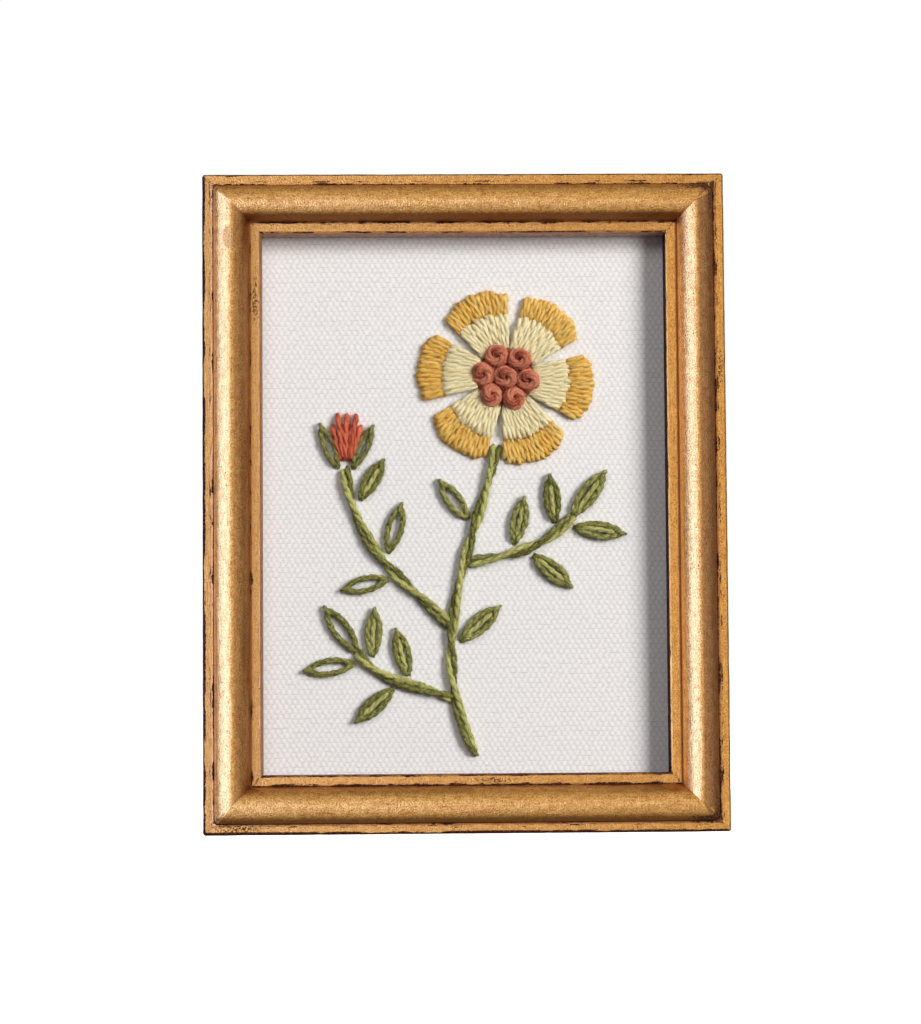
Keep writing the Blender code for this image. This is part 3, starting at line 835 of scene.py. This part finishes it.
def woven_front(front):
    """The front of the cloth, woven thread by thread, as one grid."""
    threads = round((FRAME_WIDTH - 2 * RAIL_WIDTH + 1.0) / WARP / 2)
    rows = round((FRAME_HEIGHT - 2 * RAIL_WIDTH + 1.0) / WEFT / 2)
    u = np.arange(-threads * WARP_STEPS, threads * WARP_STEPS + 1) / WARP_STEPS
    v = np.arange(-rows * WEFT_STEPS, rows * WEFT_STEPS + 1) / WEFT_STEPS
    uu, vv = np.meshgrid(u, v)
    x = uu * WARP + 0.16 * soft_wave(vv / 4.0, uu / 9.0, 1) + 0.05 * soft_wave(vv, uu * 1.7, 2)
    z = vv * WEFT + 0.20 * soft_wave(uu / 7.0, vv / 6.0, 3) + 0.05 * soft_wave(uu, vv * 1.9, 4)
    stout = 1.0 + 0.2 * soft_wave(vv * 1.3, uu / 20.0, 5)
    weave = 0.55 * np.abs(np.sin(math.pi * vv)) + 0.45 * np.sin(math.pi * uu) * np.sin(math.pi * vv)
    t = front + WEAVE_RELIEF * (stout * weave - 0.5) + 0.12 * soft_wave(uu / 30, vv / 22, 6)
    grid = points_at(x, t, z).reshape(-1, 3)
    ids = np.arange(len(grid)).reshape(uu.shape)
    quads = np.stack([ids[:-1, :-1], ids[:-1, 1:], ids[1:, 1:], ids[1:, :-1]], axis=-1).reshape(-1, 4)
    uv = np.stack([uu, vv], axis=-1).reshape(-1, 2)
    return mesh_of_quads("cloth", grid, quads, uv[quads])


def add_rings(bm, profile, half_w, half_h):
    """Rings of points that carry the cloth round the board's edges, with folded corners behind."""
    counts = (round(2 * half_w / RING_STEP), round(2 * half_h / RING_STEP))
    rings = []
    for inset, depth, radius, _ in profile:
        ring = []
        for k, (px, pz) in enumerate(rounded_ring(half_w - inset, half_h - inset, radius, counts)):
            extra = 0.0
            if depth < CLOTH_BACK + 0.3:
                diagonal = abs((half_w - abs(px)) - (half_h - abs(pz)))
                extra = -0.3 * math.exp(-((diagonal / 2.2) ** 2)) * min(1.0, inset / 4.0)
                extra += 0.12 * math.sin(k * 0.9) * min(1.0, inset / 8.0)
            ring.append(bm.verts.new(Vector((px, depth_to_y(depth + extra), pz)) * MM))
        rings.append(ring)
    return rings


def join_front(bm, layer, edge, ring):
    """Fills the strip between the woven front and the first ring round it."""
    first = [bm.edges.new(pair) for pair in zip(ring, ring[1:] + ring[:1])]
    filled = bmesh.ops.triangle_fill(bm, use_beauty=False, edges=edge + first, normal=(0.0, -1.0, 0.0))
    for item in filled["geom"]:
        if isinstance(item, bmesh.types.BMFace):
            for loop in item.loops:
                co = loop.vert.co / MM
                loop[layer].uv = (co.x / WARP, co.z / WEFT)


def join_rings(bm, layer, profile, rings, half_w, half_h):
    """Faces between the rings; the count of threads runs on past the front."""
    for level, (ring, further) in enumerate(zip(rings, rings[1:])):
        here, there = profile[level][3], profile[level + 1][3]
        for k in range(len(ring)):
            after = (k + 1) % len(ring)
            face = bm.faces.new((ring[k], ring[after], further[after], further[k]))
            for loop, reach in zip(face.loops, (here, here, there, there)):
                co = loop.vert.co / MM
                sideways = abs(co.x) / half_w > abs(co.z) / half_h
                grow_x, grow_z = (reach, 0.0) if sideways else (0.0, reach)
                loop[layer].uv = (
                    (co.x + math.copysign(grow_x, co.x)) / WARP,
                    (co.z + math.copysign(grow_z, co.z)) / WEFT,
                )


def add_cloth(material):
    """The cloth is folded round the board; its front is woven thread by thread."""
    half_w = FRAME_WIDTH / 2 - REBATE_S - REBATE_GAP
    half_h = FRAME_HEIGHT / 2 - REBATE_S - REBATE_GAP
    front = REBATE_DEPTH - REBATE_GAP
    data = woven_front(front)
    bm = bmesh.new()
    bm.from_mesh(data)
    layer = bm.loops.layers.uv["UVMap"]
    edge = [item for item in bm.edges if item.is_boundary]
    profile = cloth_profile(front)
    rings = add_rings(bm, profile, half_w, half_h)
    join_front(bm, layer, edge, rings[0])
    join_rings(bm, layer, profile, rings, half_w, half_h)
    bm.faces.new(rings[-1])
    for vert in bm.verts:
        vert.co.z += FRAME_HEIGHT / 2 * MM
    bmesh.ops.recalc_face_normals(bm, faces=bm.faces)
    bm.to_mesh(data)
    bm.free()
    data.shade_smooth()
    data.set_sharp_from_angle(angle=math.radians(60.0))
    cloth = add_piece("woven_cloth", data, material, "linen", "cloth")


def cloth_profile(front):
    """Rings from the front edge round to the hem and back along the inside.

    Each is (inset, depth, corner radius, how far the thread count has run on past the front).
    """
    rings = []
    depth_mid = front - CLOTH_FOLD
    for k in range(5):
        angle = math.pi / 2 * k / 4
        inset = CLOTH_FOLD * (1 - math.sin(angle))
        rings.append((inset, depth_mid + CLOTH_FOLD * math.cos(angle), 2.2, 0.7 * k))
    rings += [(0.0, depth_mid - 1.2, 2.2, 4.0), (0.0, CLOTH_BACK + CLOTH_FOLD + 0.6, 2.2, 6.0)]
    for k in range(5):
        angle = math.pi / 2 * k / 4
        inset = CLOTH_FOLD * (1 - math.cos(angle))
        rings.append((inset, CLOTH_BACK + CLOTH_FOLD * (1 - math.sin(angle)), 2.2, 8.0 + 0.7 * k))
    for inset in (4.0, 7.0, 10.0, 12.5, HEM_WIDTH - 0.4):
        rings.append((inset, CLOTH_BACK, 1.2, 10.0 + 2 * inset))
    inside = CLOTH_BACK + CLOTH_THICKNESS
    rings += [(HEM_WIDTH, CLOTH_BACK + 0.3, 1.0, 38.4), (HEM_WIDTH, inside - 0.3, 1.0, 38.6)]
    rings += [(HEM_WIDTH - 0.4, inside, 1.0, 39.0), (7.0, inside, 1.0, 45.0)]
    rings += [(CLOTH_THICKNESS + 0.6, inside, 1.0, 52.0), (CLOTH_THICKNESS, inside + 0.6, 1.0, 53.0)]
    rings += [(CLOTH_THICKNESS, front - CLOTH_THICKNESS - 0.6, 1.0, 57.0)]
    rings += [(CLOTH_THICKNESS + 0.6, front - CLOTH_THICKNESS, 1.0, 58.0)]
    return rings


# Yarn


def frames_along(path):
    """Unit vectors to the side of a path on the flat, and up off it."""
    way = np.gradient(path, axis=0)
    way /= np.linalg.norm(way, axis=1, keepdims=True)
    flat = way.copy()
    flat[:, 1] = 0.0
    size = np.linalg.norm(flat, axis=1)
    good = np.flatnonzero(size > min(0.25, 0.9 * size.max()))
    nearest = good[np.argmin(np.abs(np.arange(len(path))[:, None] - good[None, :]), axis=1)]
    flat = flat[nearest] / size[nearest][:, None]
    side = np.cross(flat, (0.0, -1.0, 0.0))
    up = np.cross(side, way)
    up /= np.linalg.norm(up, axis=1, keepdims=True)
    return side, up


def lengths_along(path):
    """The length of a path up to each of its points."""
    legs = np.linalg.norm(np.diff(path, axis=0), axis=1)
    return np.concatenate([[0.0], np.cumsum(legs)])


def round_path(side, up, angle):
    """Unit vectors that stand off a path, at an angle from its side towards up."""
    return np.cos(angle)[:, None] * side + np.sin(angle)[:, None] * up


def tube(weaver, path, radii, tone, sides=TUBE_SIDES):
    """A round tube along a path in world mm; its seam faces the cloth."""
    side, up = frames_along(path)
    angles = -math.pi / 2 + 2 * math.pi * np.arange(sides) / sides
    spread = np.cos(angles)[None, :, None] * side[:, None] + np.sin(angles)[None, :, None] * up[:, None]
    rings = path[:, None] + spread * np.broadcast_to(radii, (len(path),))[:, None, None]
    weaver.add(rings, lengths_along(path), tone, rng.uniform(0.0, 500.0))


def yarn(weaver, path, radius, tone, twist=PLY_TWIST, hairs=0.0, plies=2):
    """Wool yarn of plies laid round each other, with loose fibres standing off it."""
    path = np.asarray(path)
    radii = np.broadcast_to(radius, (len(path),)).astype(float)
    side, up = frames_along(path)
    lengths = lengths_along(path)
    spread, thickness = PLIES[plies]
    phase = rng.uniform(0.0, 2 * math.pi)
    for ply in range(plies):
        angle = phase + 2 * math.pi * (ply / plies + lengths / twist)
        lane = path + round_path(side, up, angle) * (radii * spread)[:, None]
        swell = 1.0 + 0.06 * np.sin(lengths * 1.7 + phase * 3 + ply)
        size = radii * thickness * swell
        tube(weaver, lane, size, np.asarray(tone) + rng.uniform(-0.09, 0.09))
        add_strands(weaver, lane, size, tone)
    for _ in range(rng.poisson(HAIRS_PER_MM * hairs * lengths[-1])):
        add_hair(weaver, path, side, up, radii, tone)


def add_strands(weaver, lane, radii, tone):
    """Fine strands that wind along the outside of a ply, so that it looks spun."""
    side, up = frames_along(lane)
    lengths = lengths_along(lane)
    picked = np.unique(np.append(np.arange(0, len(lane), 2), len(lane) - 1))
    for strand in range(STRANDS):
        angle = 2 * math.pi * ((strand + rng.uniform(-0.3, 0.3)) / STRANDS - lengths / STRAND_TWIST)
        path = lane + round_path(side, up, angle) * (radii * rng.uniform(0.94, 1.03))[:, None]
        tones = np.broadcast_to(tone, (len(lane),)) + rng.uniform(-0.4, 0.4)
        size = STRAND_RADIUS * rng.uniform(0.6, 1.2)
        tube(weaver, path[picked], size, tones[picked], FINE_SIDES)


def add_hair(weaver, path, side, up, radii, tone):
    """One loose fibre that springs from the yarn and curls away."""
    k = int(rng.integers(1, len(path) - 1))
    angle = rng.uniform(-0.2, math.pi + 0.2)
    out = math.cos(angle) * side[k] + math.sin(angle) * up[k]
    along = (path[k + 1] - path[k - 1]) * rng.choice([-1, 1])
    along /= np.linalg.norm(along)
    start = path[k] + out * radii[k] * 0.85
    length = rng.uniform(0.7, 2.4)
    lift = rng.uniform(0.05, 0.6)
    curl = rng.uniform(-0.8, 0.8)
    cross = np.cross(along, out)
    steps = np.linspace(0.0, 1.0, HAIR_POINTS)[:, None]
    hair = start + along * length * steps + out * lift * length * steps * (1.4 - steps)
    hair = hair + cross * curl * length * steps**2
    sizes = HAIR_RADIUS * (1.0 - 0.6 * steps[:, 0])
    tube(weaver, hair, sizes, float(np.mean(tone)) + rng.uniform(-0.1, 0.4), FINE_SIDES)


def stitch(weaver, start, end, radius, tone, height, bow=0.0, hairs=0.0, twist=PLY_TWIST):
    """A straight stitch that comes up through the cloth, lies over it and goes down again."""
    start, end = np.array(start), np.array(end)
    length = np.linalg.norm(end - start)
    count = max(12, round(length / YARN_STEP) + 8)
    share = (1 - np.cos(math.pi * np.linspace(0.0, 1.0, count))) / 2
    across = np.array([-(end - start)[1], (end - start)[0]]) / length
    flat = start + (end - start) * share[:, None] + across * (bow * np.sin(math.pi * share))[:, None]
    arch = np.sqrt(np.maximum(0.0, 1.0 - np.abs(2 * share - 1) ** 7))
    crown = STITCH_BASE + height - np.mean(radius) * 1.02
    t = STITCH_ROOT + (crown - STITCH_ROOT) * arch * (1.0 + 0.03 * np.sin(3.0 * share + tone * 9))
    path = points_at(flat[:, 0], t, flat[:, 1])
    sizes = np.interp(share, [0.0, 1.0], radius if np.ndim(radius) else (radius, radius))
    sizes = sizes * (0.72 + 0.28 * arch)
    yarn(weaver, path, sizes, tone, twist, hairs)


def turned(origin, along, across, turn):
    """A point given by its distances along and across a direction from an origin in x and z."""
    x = origin[0] + along * math.cos(turn) - across * math.sin(turn)
    z = origin[1] + along * math.sin(turn) + across * math.cos(turn)
    return x, z


def petal_half(radius):
    spread = (radius - PETAL_INNER) / (PETAL_OUTER - PETAL_INNER)
    return PETAL_HALF_INNER + (PETAL_HALF_OUTER - PETAL_HALF_INNER) * spread


def add_petal(number, yellow, gold):
    """A petal of pale stitches, with a band of golden ones along its outer edge."""
    turn = math.radians(PETAL_TURN + 360.0 / PETALS * number)
    inner, tip = Weaver(), Weaver()

    def at(radius, side):
        return turned(FLOWER, radius, side * petal_half(radius) + rng.uniform(-0.1, 0.1), turn)

    for k in range(STITCHES):
        side = 2 * (k + 0.5) / STITCHES - 1
        band = PETAL_BAND - 0.5 * PETAL_ROUND * side**2 + rng.uniform(-0.5, 0.6)
        low, high = petal_half(PETAL_INNER) / STITCHES, petal_half(PETAL_BAND) / STITCHES
        height = 2.4 + 0.1 * (k % 2) + rng.uniform(-0.07, 0.07)
        sizes = np.array([low, high]) * PETAL_YARN
        tone, bow = rng.uniform(0.5, 0.9), rng.uniform(-0.15, 0.15)
        stitch(inner, at(PETAL_ROOT, side), at(band, side), sizes, tone, height, bow, 1.1)
    for k in range(TIP_STITCHES):
        side = 2 * (k + 0.5) / TIP_STITCHES - 1
        band = PETAL_BAND - 0.5 * PETAL_ROUND * side**2 + rng.uniform(-0.2, 0.8)
        outer = PETAL_OUTER - PETAL_ROUND * side**2 + rng.uniform(-0.5, 0.4)
        low, high = petal_half(PETAL_BAND) / TIP_STITCHES, petal_half(PETAL_OUTER) / TIP_STITCHES
        sizes = np.array([low, high]) * TIP_YARN
        tone, bow = rng.uniform(0.3, 0.8), rng.uniform(-0.12, 0.12)
        stitch(tip, at(band, side), at(outer, side), sizes, tone, 2.2, bow, 1.5)
    name = f"petal_{number + 1}"
    add_piece(f"wool_{name}", inner.build(name), yellow, "yellow_yarn", name)
    name = f"petal_tip_{number + 1}"
    add_piece(f"wool_{name}", tip.build(name), gold, "gold_yarn", name)


def add_knot(name, x, z, height, material):
    """Thick yarn wound round itself, sinking into a dimple in the middle; its tone darkens there as
    painted shade.
    """
    weaver = Weaver()
    steps = np.linspace(0.0, 1.0, 78)
    begin = rng.uniform(0.0, 2 * math.pi)
    lean = rng.uniform(-0.35, 0.35, 2)
    angle = begin + 2 * math.pi * KNOT_TURNS * steps
    ring = np.interp(steps, [0.0, 0.08, 0.45, 0.8, 1.0], [1.6, 2.5, 2.45, 1.65, 0.4])
    ring = ring * (1.0 + 0.07 * np.sin(2 * angle + begin))
    lift = np.interp(steps, [0.0, 0.08, 0.5, 0.8, 1.0], [-0.5, 1.1, 1.9, height - 1.25, height - 2.6])
    px = x + ring * np.cos(angle)
    pz = z + ring * np.sin(angle)
    t = STITCH_BASE + lift + lean[0] * (px - x) * 0.35 + lean[1] * (pz - z) * 0.35
    path = points_at(px, t, pz)
    size = np.interp(steps, [0.0, 0.1, 0.85, 1.0], [0.9, 1.32, 1.36, 0.85])
    # The tone darkens towards the middle: painted shade in the dimple.
    tone = np.interp(steps, [0.0, 0.3, 0.72, 0.88, 1.0], [0.45, 0.7, 0.75, 0.15, 0.0])
    yarn(weaver, path, size, tone, twist=11.0, hairs=1.2, plies=4)
    core = np.linspace(0.0, 1.0, 10)
    post = points_at(x + 0.15 * core, STITCH_ROOT + core * (height - 1.6), z + 0.4 * core)
    tube(weaver, post, np.interp(core, [0, 1], [1.9, 1.2]), 0.0)
    if name == "knot_middle":
        add_knot_bed(weaver, x, z)
    add_piece(f"wool_{name}", weaver.build(name), material, "terracotta_yarn", name)


def add_knot_bed(weaver, x, z):
    """Yarn coiled flat on the cloth, which shows dark between the knots."""
    turns = KNOT_BED / (2 * KNOT_BED_YARN)
    steps = np.linspace(0.12, 1.0, 150)
    angle = 2 * math.pi * turns * steps
    t = np.full(len(steps), STITCH_BASE + 0.4)
    path = points_at(x + KNOT_BED * steps * np.cos(angle), t, z + KNOT_BED * steps * np.sin(angle))
    yarn(weaver, path, KNOT_BED_YARN, 0.12, twist=8.0)


def cubic(points, share):
    """The point and the direction at a share along a cubic curve in x and z."""
    a, b, c, d = (np.array(point) for point in points)
    rest = 1.0 - share
    place = a * rest**3 + b * 3 * rest**2 * share + c * 3 * rest * share**2 + d * share**3
    way = (b - a) * rest**2 + (c - b) * 2 * rest * share + (d - c) * share**2
    return place, way / np.linalg.norm(way)


def stem_curve(name):
    if name == "stem_main":
        return MAIN_STEM
    share, *rest = BRANCHES[name]
    return (tuple(cubic(MAIN_STEM, share)[0]), *rest)


def add_stem(name, material):
    """Two yarns, one dark and one light, that lie side by side and cross over now and then."""
    curve = stem_curve(name)
    fine = np.array([cubic(curve, k / 400)[0] for k in range(401)])
    run_length = lengths_along(fine)
    first = 0.0 if name == "stem_main" else STEM_RADIUS * 0.8
    stops = np.linspace(first, run_length[-1] + 0.8, round(run_length[-1] / YARN_STEP))
    x = np.interp(stops, run_length, fine[:, 0])
    z = np.interp(stops, run_length, fine[:, 1])
    beyond = np.maximum(0.0, stops - run_length[-1])
    way = cubic(curve, 1.0)[1]
    x, z = x + beyond * way[0], z + beyond * way[1]
    edge = np.minimum(stops - first, stops[-1] - stops)
    rise = np.sqrt(np.clip(edge / 1.4, 0.0, 1.0))
    t = STITCH_ROOT + (STITCH_BASE + 1.35 - STITCH_ROOT) * rise
    path = points_at(x, t, z)
    side, up = frames_along(path)
    weaver = Weaver()
    phase = rng.uniform(0.0, math.pi)
    drift = 0.5 * np.sin(stops / 6.1 + phase)
    for strand, tone in ((0, 0.12), (1, 0.78)):
        angle = phase + math.pi * strand + 2 * math.pi * stops / STEM_TWIST + drift
        lane = path + side * (0.92 * np.cos(angle))[:, None] + up * (0.5 * np.sin(angle))[:, None]
        tones = tone + 0.12 * np.sin(stops / 4.3 + strand * 2)
        size = 1.02 * (1.0 + 0.06 * np.sin(stops / 2.7 + strand)) * (0.7 + 0.3 * rise)
        yarn(weaver, lane, size, tones, twist=7.5, hairs=1.3)
    add_piece(f"wool_{name}", weaver.build(name), material, "olive_yarn", name)


def add_leaf(name, base, turn, length, width, material):
    """A looped stitch held down at its tip, some of them with a straight stitch inside."""
    weaver = Weaver()
    strand = LEAF_STRAND * (width / 6.0) ** 0.5
    steps = np.linspace(0.0, 1.0, 58)
    v = 1.0 - np.abs(2 * steps - 1) ** 1.15
    swell = np.sin(math.pi * np.minimum(v, 1.0) * 0.94) ** 0.7
    half = LEAF_BASE + (width / 2 - LEAF_BASE) * swell
    side = np.tanh((1 - 2 * steps) * 9.0)
    across = side * np.maximum(0.3, half - strand)
    along = 0.4 + v * (length - strand - 0.6)
    points = np.array([turned(base, a, c, turn) for a, c in zip(along, across)])
    rise = np.sqrt(np.clip(np.minimum(steps, 1 - steps) / 0.05, 0.0, 1.0))
    t = STITCH_ROOT + (STITCH_BASE + 1.2 - STITCH_ROOT) * rise
    path = points_at(points[:, 0], t, points[:, 1])
    loop_tone = rng.uniform(0.12, 0.4)
    yarn(weaver, path, strand * (0.75 + 0.25 * rise), loop_tone, twist=6.0, hairs=1.0)
    inner_tone = rng.uniform(0.55, 0.9)
    if width > 5.0 and rng.random() < 0.72:
        start, end = turned(base, 1.6, 0.0, turn), turned(base, length * 0.82, 0.0, turn)
        stitch(weaver, start, end, strand * 0.86, inner_tone, 2.2, rng.uniform(-0.3, 0.3), 0.8, 6.0)
    start, end = turned(base, length - 2.6, 0.0, turn), turned(base, length + 0.2, 0.0, turn)
    stitch(weaver, start, end, strand * 0.62, loop_tone + 0.1, 2.8, 0.0, 0.6)
    add_piece(f"wool_{name}", weaver.build(name), material, "olive_yarn", name)


def side_clearance(lean, half_end):
    """How far from a stem's middle line a piece that leans away from it has to start."""
    return (STEM_RADIUS + REBATE_GAP + half_end * math.cos(lean)) / math.sin(lean)


def add_leaves(material):
    for number, (stem, along, turn, length, width) in enumerate(LEAVES):
        place, way = cubic(stem_curve(stem), along)
        angle = math.atan2(way[1], way[0]) + math.radians(turn)
        lean = abs(math.radians(turn))
        clear = 2 * REBATE_GAP if along == 1.0 else side_clearance(lean, LEAF_BASE)
        base = place + np.array([math.cos(angle), math.sin(angle)]) * clear
        add_leaf(f"leaf_{number + 1:02d}", base, angle, length, width, material)


def add_bud(coral, olive):
    """Coral stitches that rise to three points, held between two green sepals."""
    foot, way = cubic(stem_curve("stem_bud"), 1.0)
    turn = math.atan2(way[1], way[0]) - math.radians(BUD_TURN)
    weaver = Weaver()
    for k in range(BUD_STITCHES):
        across = 2 * k / (BUD_STITCHES - 1) - 1
        notch = 1.0 - abs(math.cos(BUD_POINTS * math.pi / 2 * across))
        end = BUD_LENGTH * (1.0 - BUD_NOTCH * notch)
        sizes = np.array([0.65, 0.98])
        low, high = BUD_HALF_BASE + 0.5, BUD_HALF_TOP - 0.3
        start, stop = turned(foot, BUD_START, across * low, turn), turned(foot, end, across * high, turn)
        height = 2.5 + 0.25 * (k % 2)
        stitch(weaver, start, stop, sizes, rng.uniform(0.35, 0.75), height, rng.uniform(-0.2, 0.2), 0.8)
    add_piece("wool_bud", weaver.build("bud"), coral, "coral_yarn", "bud")
    for name, side in (("sepal_left", 1), ("sepal_right", -1)):
        angle = turn + side * math.radians(SEPAL_SPREAD)
        across = np.array([-math.sin(turn), math.cos(turn)]) * side
        base = foot + np.array([math.cos(turn), math.sin(turn)]) * 0.6 + across * SEPAL_APART
        add_leaf(name, base, angle, SEPAL_LENGTH, SEPAL_WIDTH, olive)


# Studio


def add_light(name):
    """An area light, aimed at the frame's middle, that only some kinds of surface see."""
    azimuth, elevation, distance, width, height, power, colour, matt, glossy = LIGHTS[name]
    middle = Vector((0.0, 0.0, FRAME_HEIGHT / 2 * MM))
    a, e = math.radians(azimuth), math.radians(elevation)
    way = Vector((math.sin(a) * math.cos(e), -math.cos(a) * math.cos(e), math.sin(e)))
    data = bpy.data.lights.new(name, "AREA")
    data.shape = "RECTANGLE"
    data.size, data.size_y = width, height
    data.energy, data.color = power, colour
    light = add_object(name, data)
    light.location = middle + way * distance
    light.rotation_euler = (-way).to_track_quat("-Z", "Y").to_euler()
    light.visible_diffuse, light.visible_glossy, light.visible_camera = matt, glossy, False


def add_world():
    """Soft surroundings, brightest in front, dimmer for matt surfaces; white behind the frame."""
    world = bpy.data.worlds.new("studio")
    bpy.context.scene.world = world
    g = Graph(world, "Background")
    toward = g.nodes.new("ShaderNodeVectorMath")
    toward.operation = "DOT_PRODUCT"
    g.put(g.nodes.new("ShaderNodeTexCoord").outputs["Generated"], toward.inputs[0])
    g.put(FRONT_WAY, toward.inputs[1])
    total = g.remap(toward.outputs["Value"], -0.4, 1.0, SIDE_FILL, FRONT_FILL)
    rays = g.nodes.new("ShaderNodeLightPath").outputs
    lit = g.choose(rays["Is Diffuse Ray"], total, total * MATT_FILL)
    g.finish(Color=(1.0, 1.0, 1.0), Strength=g.choose(rays["Is Camera Ray"], lit, 1.0))


def add_floor():
    """A plain white floor that throws no light on the frame."""
    bpy.ops.mesh.primitive_plane_add(size=8.0, location=(0.0, 0.0, 0.0))
    floor = bpy.context.object
    floor.name = "floor"
    g = Graph(bpy.data.materials.new("floor"))
    white = g.finish(
        Base_Color=(0.8, 0.8, 0.8),
        Roughness=1.0,
        Specular_IOR_Level=0.0,
        Emission_Color=(1.0, 1.0, 1.0),
        Emission_Strength=1.0,
    )
    floor.data.materials.append(white)
    floor.visible_glossy = False
    floor.visible_diffuse = False


def add_camera():
    camera = add_object("camera", bpy.data.cameras.new("camera"))
    camera.location = Vector(CAMERA_PLACE) * MM
    turns = (90.0 + CAMERA_PITCH, CAMERA_ROLL, CAMERA_YAW)
    camera.rotation_euler = tuple(math.radians(turn) for turn in turns)
    camera.data.lens = CAMERA_LENS
    camera.data.clip_start = 0.01
    bpy.context.scene.camera = camera


# Scene

bpy.context.scene.view_settings.view_transform = "Standard"
for light_name in LIGHTS:
    add_light(light_name)
add_world()
add_floor()
add_camera()

section = rail_section()
gilt = Gilding(section[2]).build()
half_width, half_height = FRAME_WIDTH / 2, FRAME_HEIGHT / 2
wide, tall = (half_width, half_height), (half_height, half_width)
add_rail("frame_bottom", section, *wide, 0.0, ("bottom_left", "bottom_right"), 1, gilt)
add_rail("frame_top", section, *wide, 180.0, ("top_right", "top_left"), 2, gilt)
add_rail("frame_left", section, *tall, 90.0, ("top_left", "bottom_left"), 3, gilt)
add_rail("frame_right", section, *tall, -90.0, ("bottom_right", "top_right"), 4, gilt)

add_cloth(cloth_material())
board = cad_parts["board"]
for holder in board.material_slots:
    holder.material = board_material()

wools = {name: yarn_material(name) for name in WOOLS}
for petal in range(PETALS):
    add_petal(petal, wools["yellow_wool"], wools["gold_wool"])
add_knot("knot_middle", *FLOWER, MIDDLE_KNOT_HEIGHT, wools["terracotta_wool"])
for knot in range(PETALS):
    place = turned(FLOWER, KNOT_RING, 0.0, math.radians(PETAL_TURN + 360.0 / PETALS * knot))
    add_knot(f"knot_{knot + 1}", *place, KNOT_HEIGHT, wools["terracotta_wool"])
for stem_name in ("stem_main", *BRANCHES):
    add_stem(stem_name, wools["olive_wool"])
add_leaves(wools["olive_wool"])
add_bud(wools["coral_wool"], wools["olive_wool"])
